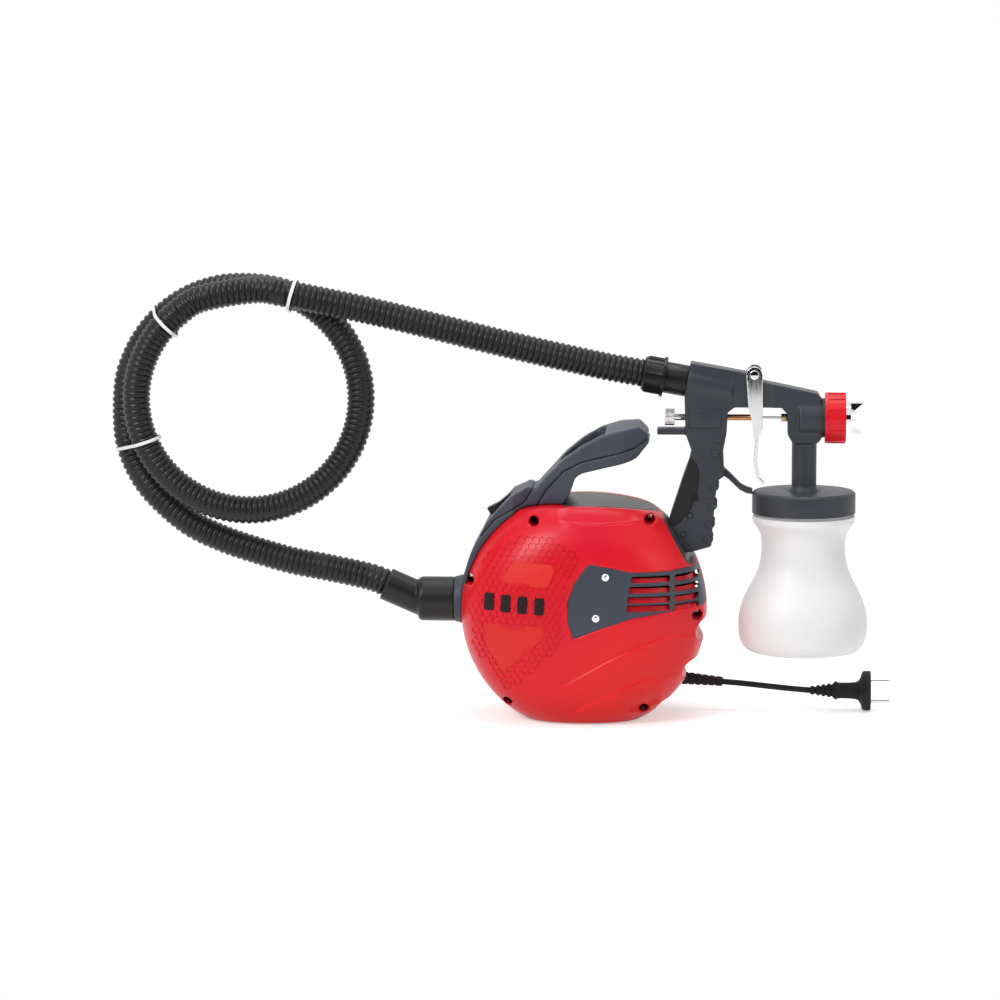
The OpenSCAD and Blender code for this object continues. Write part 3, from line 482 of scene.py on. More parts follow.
def soft_copy(node, name, cell, rounds):
    """A copy of a node rebuilt in small cells and relaxed, so that all its edges are soft."""
    obj = copy_of(node, name)
    remesh = obj.modifiers.new("cells", "REMESH")
    remesh.mode = "VOXEL"
    remesh.voxel_size = cell * MM
    relax = obj.modifiers.new("relax", "SMOOTH")
    relax.factor = 0.5
    relax.iterations = rounds
    return apply_all(obj)


def melted(node, name, material, body, cell=1.0, rounds=6):
    """A soft copy of a node, which then stands for the node."""
    obj = soft_copy(node, name, cell, rounds)
    settle(obj, material, body, smooth=60)
    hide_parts(node)
    return obj


def paint(node, material):
    """A CAD node that keeps its own shape gets a better material."""
    obj = nodes[node]
    obj.data.materials.clear()
    obj.data.materials.append(material)
    for polygon in obj.data.polygons:
        polygon.material_index = 0


def ring_faces(rings, sides):
    """The faces of a tube, whose points stand in rings."""
    return [
        (i * sides + k, i * sides + (k + 1) % sides, (i + 1) * sides + (k + 1) % sides, (i + 1) * sides + k)
        for i in range(rings - 1) for k in range(sides)
    ]


def spun(name, profile, start, direction, steps=64):
    """A turned piece: its half section, as (along, radius) in millimetres, is spun round an axis."""
    turn = Vector(direction).normalized().to_track_quat("Z", "X").to_matrix()
    verts = []
    for along, radius in profile:
        for k in range(steps):
            angle = 2 * math.pi * k / steps
            spot = Vector((radius * math.cos(angle), radius * math.sin(angle), along))
            verts.append(Vector(start) + turn @ spot)
    return outward(mesh_object(name, verts, ring_faces(len(profile), steps)), merge=0.000005)


# %% [markdown]
# ## Ribbed air hose
# The hose is a thin wall with close ribs. It is made as one tube: rings are set along the route, and every
# fourth ring is wide, so the outline goes in and out once a rib. Each ring keeps its turn from the ring
# before it, so the tube never twists.

# %% Air hose
RIB_STEPS = 4
HOSE_SIDES = 20
RIB_RADII = (HOSE_R, HOSE_R - 0.5, HOSE_R - 1.7, HOSE_R - 0.5)


def swept(name, line, radii, sides):
    """A closed tube along a line, with a radius for each ring."""
    verts, side = [], None
    for i, point in enumerate(line):
        ahead = (line[min(i + 1, len(line) - 1)] - line[max(i - 1, 0)]).normalized()
        if side is None:
            side = ahead.cross(Vector((0, 1, 0))).normalized()
        side = (side - ahead * side.dot(ahead)).normalized()
        other = ahead.cross(side)
        for k in range(sides):
            angle = 2 * math.pi * k / sides
            verts.append(point + (side * math.cos(angle) + other * math.sin(angle)) * radii[i])
    faces = ring_faces(len(line), sides)
    faces.append(tuple(reversed(range(sides))))
    faces.append(tuple((len(line) - 1) * sides + k for k in range(sides)))
    return mesh_object(name, verts, faces)


hose_radii = [RIB_RADII[i % RIB_STEPS] for i in range(len(hose_line))]
air_hose = swept("ribbed_hose", hose_line, hose_radii, HOSE_SIDES)
settle(air_hose, HOSE_BLACK, None, smooth=80)
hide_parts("air_hose")
print("hose triangles:", 2 * len(air_hose.data.polygons))

# %% [markdown]
# ## Mains cord, boot and plug
# The short lead leaves the case through a tapered rubber boot, which keeps it from kinking, and ends in a
# round moulded plug. The boot and the plug are turned shapes with grooves for the fingers.

# %% Cord and plug
mains_cord = swept("mains_cord", cord_line, [CORD_R] * len(cord_line), 20)
settle(mains_cord, RUBBER, "unit", smooth=60)
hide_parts("power_cord")

BOOT_R, BOOT_GROOVES, BOOT_PITCH, BOOT_TAPER = 6.4, 6, 6.2, 2.0
boot_profile = [(-10, 0), (-10, BOOT_R - 0.4), (-9.6, BOOT_R), (0, BOOT_R)]
for k in range(BOOT_GROOVES):
    at = 6 + BOOT_PITCH * k
    taper = BOOT_R - BOOT_TAPER * at / BOOT_LEN
    boot_profile += [
        (at - 1.2, taper), (at - 0.6, taper - 0.7), (at + 0.6, taper - 0.75), (at + 1.2, taper - 0.05),
    ]
boot_profile += [(BOOT_LEN - 0.6, 4.4), (BOOT_LEN, 3.9), (BOOT_LEN, 0)]
boot = spun("cord_boot_ribbed", boot_profile, BOOT_AT, BOOT_DIR, 40)
settle(boot, RUBBER, "unit", smooth=40)
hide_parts("cord_boot")

PLUG_LEN, PLUG_NECK_LEN, PLUG_NECK_R, PLUG_GROOVES, PLUG_PITCH = 56, 22, 3.8, 4, 5
plug_profile = [(0, 0), (0, PLUG_NECK_R - 0.4), (0.6, PLUG_NECK_R)]
for k in range(PLUG_GROOVES):
    at = 3.4 + PLUG_PITCH * k
    taper = PLUG_NECK_R + 3.4 * at / PLUG_NECK_LEN
    plug_profile += [(at, taper), (at + 0.5, taper - 1.1), (at + 2.2, taper - 1.0), (at + 2.7, taper + 0.4)]
plug_profile += [
    (22, 7.2), (22.5, 8.3), (24.7, 8.6), (25.3, 7.7), (27, 7.4), (36, 7.5), (42, 8.0), (44.5, 9.2),
    (46.5, 12.0), (47.8, 16.4), (48.8, 17.9), (50, PLUG_R), (55.2, PLUG_R), (55.8, 18.0), (PLUG_LEN, 17.4),
    (PLUG_LEN, 0),
]
plug = spun("mains_plug", plug_profile, (PLUG_X, CORD_Y, PLUG_R), (1, 0, 0), 64)
settle(plug, RUBBER, "unit", smooth=40)
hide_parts("plug_body")

PIN_LEN, PIN_R, PIN_GAP = 19.0, 2.4, 19.0
for side in (-1, 1):
    pin = spun(
        f"plug_pin_{'lower' if side < 0 else 'upper'}",
        [(0, 0), (0, PIN_R), (PIN_LEN - 2.2, PIN_R), (PIN_LEN - 1.2, 2.25), (PIN_LEN - 0.4, 1.6),
         (PIN_LEN, 0.6), (PIN_LEN, 0)],
        (PLUG_X + PLUG_LEN, CORD_Y, PLUG_R + side * PIN_GAP / 2), (1, 0, 0), 32,
    )
    settle(pin, CHROME, "unit", smooth=40)
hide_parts("plug_pins")

# %% [markdown]
# ## Shape of the case
# The two shells share one form: a squared ball that is round from the front, cut flat below and arched on
# top. The functions below give that form at any point. They serve to true up the moulded skin and to lay
# the emblem and the louvres on it.

# %% Case form
BODY_R, BODY_DEPTH, BODY_Z = 113.0, 85.0, 100.0
ARCH_R, ARCH_DROP = 300, 100


def skin_normal(x, y, z):
    """The outward direction of the case's form at a point of it."""
    r = math.hypot(x, z - BODY_Z)
    return Vector((
        x * r / BODY_R ** 3, y * abs(y) / BODY_DEPTH ** 3, (z - BODY_Z) * r / BODY_R ** 3,
    )).normalized()


def skin_point(x, z, side=-1, height=0.0):
    """The point of the case's skin at (x, z), lifted along the normal by height. side -1 is the front."""
    r = math.hypot(x, z - BODY_Z)
    y = side * BODY_DEPTH * max(1e-6, 1 - (r / BODY_R) ** 3) ** (1 / 3)
    return Vector((x, y, z)) + skin_normal(x, y, z) * height


def rounded(outline, rounds=2, cut=0.2):
    """Cuts off every corner of a closed outline, once a round. cut is the share of each side that goes."""
    for _ in range(rounds):
        out = []
        for i, a in enumerate(outline):
            b = outline[(i + 1) % len(outline)]
            out.append((a[0] * (1 - cut) + b[0] * cut, a[1] * (1 - cut) + b[1] * cut))
            out.append((a[0] * cut + b[0] * (1 - cut), a[1] * cut + b[1] * (1 - cut)))
        outline = out
    return outline


def inside(outline, x, z):
    """Whether a point is inside a closed outline."""
    hit = False
    for i, a in enumerate(outline):
        b = outline[i - 1]
        if (a[1] > z) != (b[1] > z) and x < (b[0] - a[0]) * (z - a[1]) / (b[1] - a[1]) + a[0]:
            hit = not hit
    return hit


def distance_to(line, x, z):
    """How far a point lies below an open line, or above it as less than 0, and where along the line it is."""
    best, at, done, total, sign = 1e9, 0.0, 0.0, 0.0, 1
    for a, b in zip(line, line[1:]):
        total += math.dist(a, b)
    for a, b in zip(line, line[1:]):
        dx, dz = b[0] - a[0], b[1] - a[1]
        length = math.hypot(dx, dz)
        t = min(1.0, max(0.0, ((x - a[0]) * dx + (z - a[1]) * dz) / length ** 2))
        gap = math.hypot(x - a[0] - t * dx, z - a[1] - t * dz)
        if gap < best:
            best, at = gap, (done + t * length) / total
            below = (dx * (z - a[1]) - dz * (x - a[0])) * (1 if dx < 0 else -1) > 0
            sign = 1 if below else -1
        done += length
    return sign * best, at


def curve_through(points):
    """A smooth open line through points of the front view."""
    line, _ = smooth_line([Vector((p[0], 0, p[1])) for p in points], 3.0)
    return [(p.x, p.z) for p in line]


# %% [markdown]
# ## Red shells
# The shells come from the CAD solids, rebuilt in small cells, so every opening has a soft moulded edge. The
# outer skin is then set back exactly on the case's form. Three creases that sweep under the grille, and one
# under the top plate, are pressed into it.

# %% Shells
CREASE_DEPTH, CREASE_LIP = 2.1, 0.8
CREASE_EASE, LIP_WIDTH, CREASE_TIP = 11.0, 6.0, 0.12
SKIN_GAP = 1.1
CREASES = [curve_through(p) for p in (
    [(103.4, 83.9), (78.6, 84.1), (51, 74.2), (26.6, 64), (0.4, 49.1), (-22.6, 35.3), (-31, 31.5)],
    [(91.4, 48.5), (64.8, 46), (46.4, 40), (6.8, 21), (-9.8, 11.5)],
    [(72.1, 21.8), (58, 18.5), (41.8, 14)],
    [(-22, 188.5), (10, 187), (40, 187.4), (54, 188.6)],
)]


def crease_depth(x, z):
    """How deep the skin is pressed in at a point. It eases in above a crease and steps out below it."""
    depth = 0.0
    for line in CREASES:
        below, at = distance_to(line, x, z)
        if -30 < below < 14:
            fade = min(1.0, at / CREASE_TIP, (1 - at) / CREASE_TIP)
            step = min(1.0, max(0.0, (1.6 - below) / 2.2))
            ease = math.exp(-((max(-below, 0.0) / CREASE_EASE) ** 1.6))
            lip = math.exp(-((max(below, 0.0) / LIP_WIDTH) ** 2)) * (1 - step)
            if step > 0:
                depth = max(depth, CREASE_DEPTH * fade * step * ease)
            else:
                depth -= CREASE_LIP * fade * lip
    return depth


def shell_skin(node, name, side):
    """One moulded shell with its skin trued up and its creases pressed in."""
    obj = soft_copy(node, name, cell=1.35, rounds=4)
    mesh = obj.data
    centre = Vector((0, 0, BODY_Z))
    normals = [v.normal.copy() for v in mesh.vertices]
    for vertex, normal in zip(mesh.vertices, normals):
        p = vertex.co * 1000
        on_arch = math.hypot(p.x, p.z + ARCH_DROP) > ARCH_R - 0.8
        if side * p.y < 0.5 or p.z < 2.2 or on_arch:
            continue
        share = ((math.hypot(p.x, p.z - BODY_Z) / BODY_R) ** 3 + (abs(p.y) / BODY_DEPTH) ** 3) ** (1 / 3)
        if not 0.9 < share < 1.05:
            continue
        gap = (p - centre).length * (1 / share - 1)
        out = skin_normal(*p)
        if abs(gap) > SKIN_GAP or normal.dot(out) < 0.8:
            continue
        trued = centre + (p - centre) / share
        weight = min(1.0, (SKIN_GAP - abs(gap)) / 0.5) * min(1.0, (normal.dot(out) - 0.8) / 0.12)
        moved = p.lerp(trued, weight) - out * crease_depth(p.x, p.z) * weight
        vertex.co = moved * MM
    mesh.update()
    settle(obj, CASE_RED, "unit", smooth=50)
    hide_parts(node)
    return obj


front_shell = shell_skin("shell_front", "front_shell_skin", -1)
rear_shell = shell_skin("shell_rear", "rear_shell_skin", 1)
print("shell triangles:", 2 * len(front_shell.data.polygons), 2 * len(rear_shell.data.polygons))

# %% [markdown]
# ## Emblem
# A honeycomb patch stands a fraction of a millimetre proud of the shell, with two smooth panels in it.
# Between the panels is a row of plain dark bars, because the part carries no name. The honeycomb is one
# mesh: each cell has a flat rim and a wall that drops to the skin.

# %% Emblem
COMB, COMB_HEIGHT = 6.5, 0.8
COMB_RIM, COMB_FOOT = 0.86, 0.76
COMB_ORIGIN, COMB_ROWS = (-55, 104), 12
EMBLEM_R = 104
PANEL_HEIGHT = 0.6
BAR_HEIGHT, BAR_COUNT, BAR_PITCH, BAR_FALL = 1.5, 4, 15.2, 0.9
BAR_LEFT, BAR_FOOT, BAR_WIDE, BAR_TALL, BAR_LEAN = -88.2, 107.4, 8.6, 15.4, 0.6
PATCH = [
    (-57.5, 174.0), (-27.4, 171.5), (-2.4, 159.0), (-15.6, 127.9), (-16.4, 80.8), (-66.1, 32.4),
    (-98.2, 72.7), (-102.6, 113.7), (-85.0, 155.8),
]
PANEL_UP = rounded([(-59.5, 156.0), (-23.0, 148.6), (-30.0, 128.4), (-77.0, 133.2)], cut=0.1)
PANEL_LOW = rounded(
    [(-88.5, 97.0), (-33.0, 93.6), (-33.4, 84.0), (-60.5, 60.0), (-70.5, 47.5), (-88.0, 75.5)], cut=0.12,
)


def honeycomb(name, side):
    """The ridges of the patch, laid on the skin."""
    verts, faces, index = [], [], {}

    def corner(x, z, height):
        key = (round(x, 2), round(z, 2), height)
        if key not in index:
            index[key] = len(verts)
            verts.append(skin_point(x, z, side, height))
        return index[key]

    cells = []
    big = COMB / math.sqrt(3)
    for row in range(-COMB_ROWS, COMB_ROWS + 1):
        for column in range(-COMB_ROWS, COMB_ROWS + 1):
            x = COMB_ORIGIN[0] + COMB * (column + 0.5 * (row % 2))
            z = COMB_ORIGIN[1] + COMB * row * math.sqrt(3) / 2
            on_patch = inside(PATCH, x, z) and math.hypot(x, z - BODY_Z) <= EMBLEM_R
            if on_patch and not inside(PANEL_UP, x, z) and not inside(PANEL_LOW, x, z):
                cells.append((x, z))
    taken = {(round(x, 1), round(z, 1)) for x, z in cells}
    for x, z in cells:
        def ring(size, height):
            turns = [math.radians(60 * k) for k in range(6)]
            return [corner(x + size * math.sin(turn), z + size * math.cos(turn), height) for turn in turns]
        rim, edge = ring(big, COMB_HEIGHT), ring(big * COMB_RIM, COMB_HEIGHT)
        foot, skirt = ring(big * COMB_FOOT, -0.2), ring(big, -0.2)
        for k in range(6):
            n = (k + 1) % 6
            faces.append((rim[k], rim[n], edge[n], edge[k]))
            faces.append((edge[k], edge[n], foot[n], foot[k]))
            turn = math.radians(60 * k + 30)
            beside = (round(x + COMB * math.sin(turn), 1), round(z + COMB * math.cos(turn), 1))
            if beside not in taken:
                faces.append((rim[n], rim[k], skirt[k], skirt[n]))
    obj = outward(mesh_object(name, verts, faces), merge=0.00005)
    return settle(obj, CASE_RED, "unit", smooth=30)


def laid_panel(name, outline, height, side, material, rings=14):
    """A smooth raised panel of rings laid on the skin, from its middle to its outline. The last one drops."""
    count = len(outline)
    middle = (sum(p[0] for p in outline) / count, sum(p[1] for p in outline) / count)
    levels = [(k / rings, height) for k in range(1, rings)]
    levels += [(0.975, height), (0.992, 0.75 * height), (1.0, -0.25)]
    verts, faces = [skin_point(*middle, side, height)], []
    for share, lift in levels:
        for p in outline:
            x = middle[0] + (p[0] - middle[0]) * share
            z = middle[1] + (p[1] - middle[1]) * share
            verts.append(skin_point(x, z, side, lift))
    for k in range(count):
        n = (k + 1) % count
        faces.append((0, 1 + k, 1 + n))
        for i in range(len(levels) - 1):
            a, b = 1 + i * count, 1 + (i + 1) * count
            faces.append((a + k, b + k, b + n, a + n))
    return settle(outward(mesh_object(name, verts, faces)), material, "unit", smooth=40)


def bar_outline(k):
    """The outline of one of the bars, which lean a little and fall to the right as a row."""
    left, foot = BAR_LEFT + BAR_PITCH * k, BAR_FOOT - BAR_FALL * k
    return rounded([
        (left, foot), (left + BAR_WIDE, foot), (left + BAR_WIDE + BAR_LEAN, foot + BAR_TALL),
        (left + BAR_LEAN, foot + BAR_TALL + 0.2),
    ], 1, 0.1)


for side, place in ((-1, "front"), (1, "rear")):
    honeycomb(f"honeycomb_{place}", side)
    laid_panel(f"panel_upper_{place}", PANEL_UP, PANEL_HEIGHT, side, PANEL_RED)
    laid_panel(f"panel_lower_{place}", PANEL_LOW, PANEL_HEIGHT, side, PANEL_RED)
    for k in range(BAR_COUNT):
        laid_panel(
            f"bar_{k + 1}_{place}", bar_outline(k), BAR_HEIGHT, side, BAR_DARK, rings=6,
        )
print("emblem done")

# %% [markdown]
# ## Handle, grilles and small mouldings of the unit
# These keep the shape of their CAD solids. The thick ones are melted, because a moulded handle has no sharp
# edge, and the thin or turned ones get bevelled edges.

# %% Unit mouldings
melted("handle_upper", "handle_top_moulding", SLATE, "unit", cell=1.1, rounds=20)
melted("handle_lower", "handle_under_moulding", SLATE, "unit", cell=1.1, rounds=16)
melted("switch_panel", "switch_bezel", SLATE, "unit", cell=0.8, rounds=5)
crisp("rocker_switch", "rocker_cap", BLACK, "rocker", width=0.7, segments=3)
melted("grille_front", "front_grille_bars", SLATE, "unit", cell=0.8, rounds=4)
melted("grille_rear", "rear_grille_bars", SLATE, "unit", cell=0.8, rounds=4)
melted("holster_liner", "holster_lining", GRAPHITE, "unit", cell=0.9, rounds=4)
melted("top_plate", "top_label_plate", BLACK, "unit", cell=0.6, rounds=3)
crisp("rubber_sole", "sole_pad", RUBBER, "unit", width=0.8, segments=3)
melted("outlet_ring", "outlet_collar", SLATE, "unit", cell=0.7, rounds=4)
melted("hose_elbow", "outlet_elbow", HOSE_BLACK, "unit", cell=0.9, rounds=7)
ties = crisp("hose_ties", "loop_ties", NYLON, "unit", width=0.25, segments=2)
print("unit mouldings done")

# %% [markdown]
# ## Louvres behind the grille, and the tongue of the top plate
# Behind each slot of the grille stands a red strip of the shell, which keeps water and fingers out. The top
# plate has a short tongue that runs under the handle's stem.

# %% Louvres and tongue
SLOTS = ((136.9, 45), (127.7, 43), (118.7, 41.5), (110.9, 41))
SLOT_END = 106
LOUVRE_DEPTH, LOUVRE_DOWN, LOUVRE_UP = 3.6, 4.2, 1.8


def four_cornered(name, verts):
    """A bar whose points stand in fours, each four joined to the next, with closed ends."""
    last = len(verts) - 4
    faces = [
        (a + i, a + 4 + i, a + 4 + (i + 1) % 4, a + (i + 1) % 4) for a in range(0, last, 4) for i in range(4)
    ]
    return mesh_object(name, verts, faces + [(0, 1, 2, 3), (last + 3, last + 2, last + 1, last)])


def strip_behind(name, z_low, z_high, x_low, x_high, side, depth, count=22):
    """A strip of plastic that follows the skin at a depth below it."""
    verts = []
    for k in range(count + 1):
        x = x_low + (x_high - x_low) * k / count
        for z, deeper in ((z_low, 0.0), (z_high, 1.2), (z_high, 2.4), (z_low, 1.6)):
            verts.append(skin_point(x, z, side, -depth - deeper))
    return settle(outward(four_cornered(name, verts)), CASE_RED, "unit", smooth=30)


for side, place in ((-1, "front"), (1, "rear")):
    for k, (z, left) in enumerate(SLOTS):
        strip_behind(
            f"louvre_{k + 1}_{place}", z - LOUVRE_DOWN, z + LOUVRE_UP, left - 3, SLOT_END, side, LOUVRE_DEPTH,
        )


def plate_on_arch(name, x_low, length, half_y, count=6):
    """A thin plate that follows the top arch."""
    verts = []
    for k in range(count + 1):
        x = x_low + length * k / count
        top = math.sqrt(ARCH_R ** 2 - x ** 2) - ARCH_DROP
        for y, lift in ((-half_y, -0.6), (-half_y, 0.12), (half_y, 0.12), (half_y, -0.6)):
            verts.append((x, y, top + lift))
    return settle(four_cornered(name, verts), BLACK, "unit", smooth=30)


plate_on_arch("plate_tongue", -19, 14, 30.5)

# %% [markdown]
# ## Cross-head screws
# Each screw is a turned head and shank with a cross cut into it. Two thin blocks are taken away from the
# head with a boolean, which is how the driver recess is formed in the real screw.

# %% Screws


def cross_screw(name, centre, direction, head_r, head_h, shank_r, shank_end):
    """A pan-head screw whose head stands at centre and points along direction."""
    obj = spun(
        name,
        [(shank_end, 0), (shank_end, shank_r), (0, shank_r), (0, head_r), (0.45 * head_h, head_r),
         (0.75 * head_h, 0.86 * head_r), (0.93 * head_h, 0.6 * head_r), (head_h, 0.3 * head_r), (head_h, 0)],
        centre, direction, 32,
    )
    axis = Vector(direction).normalized()
    for turn in (45, 135):
        nothing_selected()
        bpy.ops.mesh.primitive_cube_add(size=1)
        block = bpy.context.object
        block.scale = (1.25 * head_r * MM, 0.26 * head_r * MM, 1.2 * head_h * MM)
        bpy.ops.object.transform_apply(location=False, rotation=False, scale=True)
        along = axis.to_track_quat("Z", "X").to_matrix().to_4x4()
        spot = Matrix.Translation((Vector(centre) + axis * head_h * 1.02) * MM)
        block.data.transform(spot @ along @ Matrix.Rotation(math.radians(turn), 4, "Z"))
        cut = obj.modifiers.new("cross", "BOOLEAN")
        cut.operation = "DIFFERENCE"
        cut.solver = "EXACT"
        cut.object = block
        apply_all(obj)
        bpy.data.objects.remove(block, do_unlink=True)
    return settle(obj, CHROME, "unit", smooth=30)


CASE_SCREWS = ((-44, 186.8), (60.5, 186.9), (-103, 131), (103.8, 100.5), (56, 15.5), (-68, 20))
GRILLE_SCREWS = ((21.6, 139.3), (13, 102))
case_screws = [
    cross_screw(f"case_screw_{k + 1}", (x, -15, z), (0, -1, 0), 3.8, 3.0, 1.9, -29)
    for k, (x, z) in enumerate(CASE_SCREWS)
]
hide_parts("shell_screws")
for k, (x, z) in enumerate(GRILLE_SCREWS):
    seat = abs(skin_point(x, z).y) - 1
    for side in (-1, 1):
        cross_screw(
            f"grille_screw_{k + 1}_{'front' if side < 0 else 'rear'}", (x, side * seat, z), (0, side, 0),
            3.4, 1.8, 1.5, -(seat - 74),
        )
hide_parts("grille_screws")

# %% [markdown]
# ## Spray gun
# The gun's body is one graphite moulding. Its turned pieces have crisp edges, and its pressed trigger has
# soft ones. Raised marks stand on the grip, and the milky cup is spun from a smooth half section.

# %% Gun
gun_moulding = melted("gun_body", "gun_moulding", GRAPHITE, "gun", cell=0.95, rounds=5)
grip_pads = melted("grip_inlays", "grip_pads", RUBBER, "gun", cell=0.6, rounds=3)
crisp("side_plate", "side_badge_plate", GRAPHITE, "gun", width=0.4)
crisp("gun_adaptor", "hose_adaptor", BLACK, "gun", width=0.6, segments=3)
crisp("hose_nut", "swivel_nut", BLACK, "hose_nut", width=0.4)
melted("trigger", "trigger_lever", CHROME, "trigger", cell=0.45, rounds=4)
crisp("trigger_pin", "pivot_pin", CHROME, "gun", width=0.5, segments=3)
crisp("needle_sleeve", "bronze_sleeve", BRONZE, "needle", width=0.25)
crisp("fluid_knob", "flow_knob", CHROME, "fluid_knob", width=0.4)
crisp("gland_nut", "brass_gland", BRASS, "gun", width=0.3)
crisp("air_cap", "horned_cap", CHROME, "air_cap", width=0.4)
crisp("cap_ring", "red_cap_ring", CASE_RED, "cap_ring", width=0.5, segments=3)
crisp("cup_lid", "lid_moulding", GRAPHITE, "gun", width=0.8, segments=3)


def side_of(obj, x, z, side):
    """Where the side of a piece is at (x, z), in millimetres: a ray is shot at it from outside."""
    hit, place, _, _ = obj.ray_cast(Vector((x, side * 80, z)) * MM, Vector((0, -side, 0)))
    return place.y * 1000 if hit else side * 13.0


def ring_mark(name, x, z, y, size, thickness, material):
    """A round raised ring on the side of the grip, as moulded grip marks are."""
    nothing_selected()
    bpy.ops.mesh.primitive_torus_add(
        major_radius=size * MM, minor_radius=thickness * MM, major_segments=28, minor_segments=8,
        location=(x * MM, y * MM, z * MM), rotation=(math.pi / 2, 0, 0),
    )
    obj = bpy.context.object
    obj.name = name
    return settle(obj, material, "gun", smooth=60)


def grip_rib(name, x, z, y):
    """A short raised block with rounded edges on the side of the grip."""
    nothing_selected()
    bpy.ops.mesh.primitive_cube_add(size=1, location=(x * MM, y * MM, z * MM))
    obj = bpy.context.object
    obj.name = name
    obj.scale = (7.5 * MM, 2.2 * MM, 5.6 * MM)
    bpy.ops.object.transform_apply(location=False, rotation=False, scale=True)
    edge = obj.modifiers.new("edge", "BEVEL")
    edge.width, edge.segments = 0.9 * MM, 3
    return settle(apply_all(obj), GRAPHITE, "gun", smooth=40)


PAD_DIMPLES = ((101.5, 204), (97.0, 187), (91.0, 170), (86.0, 156))
FINGER_MARKS = ((118.5, 214.5), (117.0, 197), (115.0, 180), (113.5, 166))
GRIP_RIBS = ((121.5, 257), (120.0, 244))
for side, place in ((-1, "front"), (1, "rear")):
    for k, (x, z) in enumerate(PAD_DIMPLES):
        y = side_of(grip_pads, x, z, side)
        ring_mark(f"pad_dimple_{k + 1}_{place}", x, z, y, 2.7, 0.8, RUBBER)
    for k, (x, z) in enumerate(FINGER_MARKS):
        y = side_of(gun_moulding, x - 2, z, side)
        ring_mark(f"finger_mark_{k + 1}_{place}", x, z, y - side * 0.2, 4.0, 1.0, GRAPHITE)
    for k, (x, z) in enumerate(GRIP_RIBS):
        grip_rib(f"grip_rib_{k + 1}_{place}", x, z, side_of(gun_moulding, x, z, side))


def smooth_section(points, keep=()):
    """A half section through given points with its bends rounded. Points in keep stay sharp."""
    out = []
    for i, (r, z) in enumerate(points):
        if i in (0, len(points) - 1) or i in keep:
            out.append((r, z))
            continue
        (r0, z0), (r1, z1) = points[i - 1], points[i + 1]
        for t in (0.0, 0.25, 0.5, 0.75, 1.0):
            a = (r + (r0 - r) * 0.5 * (1 - t), z + (z0 - z) * 0.5 * (1 - t))
            b = (r + (r1 - r) * 0.5 * t, z + (z1 - z) * 0.5 * t)
            out.append((a[0] + (b[0] - a[0]) * t, a[1] + (b[1] - a[1]) * t))
    return out


CUP_X, WALL = 201.0, 2.2
CUP_LOW, CUP_TOP, CUP_R, WAIST_R = 60, 204, 59.5, 38.1
cup_outer = [
    (0, CUP_LOW), (46, CUP_LOW), (53.5, 63.5), (58, 71), (CUP_R, 84), (58.6, 97), (55, 109), (49.5, 120),
    (43.5, 131), (39.6, 142), (WAIST_R, 153), (WAIST_R, 163), (40, 172), (44.5, 178), (46.8, 181),
    (46.8, 186.2), (43.4, 186.4), (43.4, CUP_TOP),
]
cup_inner = [
    (41.0, CUP_TOP), (41, 179), (40 - WALL, 173), (WAIST_R - WALL, 163.4), (WAIST_R - WALL, 153),
    (39.6 - WALL, 141.5), (43.5 - WALL, 130), (49.5 - WALL, 119), (55 - WALL, 108), (58.6 - WALL, 96),
    (CUP_R - WALL, 84), (56, 72), (52, 65.5), (45, CUP_LOW + WALL), (0, CUP_LOW + WALL),
]
section = smooth_section(cup_outer, keep=(15, 16)) + smooth_section(cup_inner, keep=(0,))
cup = spun("milky_cup", [(z, r) for r, z in section], (CUP_X, 0, 0), (0, 0, 1), 96)
settle(cup, WHITE, "cup", smooth=50)
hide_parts("paint_cup")
print("gun pieces done")

# %% [markdown]
# ## Pieces inside
# The pieces that the shells hide keep their CAD meshes and only get their real material.

# %% Inner pieces
INNER = {
    CHROME: ("needle",),
    STEEL: ("motor_can", "armature_shaft", "front_bearing", "rear_bearing", "needle_spring", "fluid_nozzle"),
    BLACK: ("switch_body",),
    NYLON: ("air_baffle", "needle_packing", "lid_gasket", "dip_tube", "turbine_housing", "turbine_backplate"),
    ALUMINIUM: ("impeller",),
    FOAM: ("filter_foam",),
    RUBBER: ("rubber_mounts", "carbon_brushes"),
}
for material, names in INNER.items():
    for node in names:
        if node in nodes and not nodes[node].hide_render:
            paint(node, material)

# %% [markdown]
# ## The hose joins the unit to the gun
# The hose's place is put into its mesh.

# %% Hose place
bpy.context.view_layer.update()
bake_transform(air_hose)

# %% [markdown]
# ## Floor and light
# The sprayer stands on a plain pale floor that fades into a white background. One large soft light hangs to
# the left and front, a second fills the right, and a third from above gives the round shell its broad
# highlight. A dark flag stands before the sprayer and only gloss sees it, so chrome gets its dark middles
# and keeps bright edges.

# %% Stage
FLOOR_GLOW, FLOOR_FADE = 0.45, (0.35, 1.1)
SKY_LIGHT = (0.10, 0.55)


def combined(tree, operation, a, b):
    """Two values of a shader made one. b is a socket or a number."""
    node = tree.nodes.new("ShaderNodeMath")
    node.operation = operation
    tree.links.new(a, node.inputs[0])
    if isinstance(b, float):
        node.inputs[1].default_value = b
    else:
        tree.links.new(b, node.inputs[1])
    return node.outputs[0]


def seen_rays(tree):
    """1 for the rays that look: the camera's own, and those that come by way of gloss or clear plastic."""
    rays = tree.nodes.new("ShaderNodeLightPath").outputs
    direct = combined(tree, "MAXIMUM", rays["Is Camera Ray"], rays["Is Glossy Ray"])
    return combined(tree, "MAXIMUM", direct, rays["Is Transmission Ray"])


def plane(name, size, location, rotation=(0, 0, 0)):
    """A flat square of the studio."""
    nothing_selected()
    bpy.ops.mesh.primitive_plane_add(size=size, location=location, rotation=rotation)
    obj = bpy.context.object
    obj.name = name
    return obj


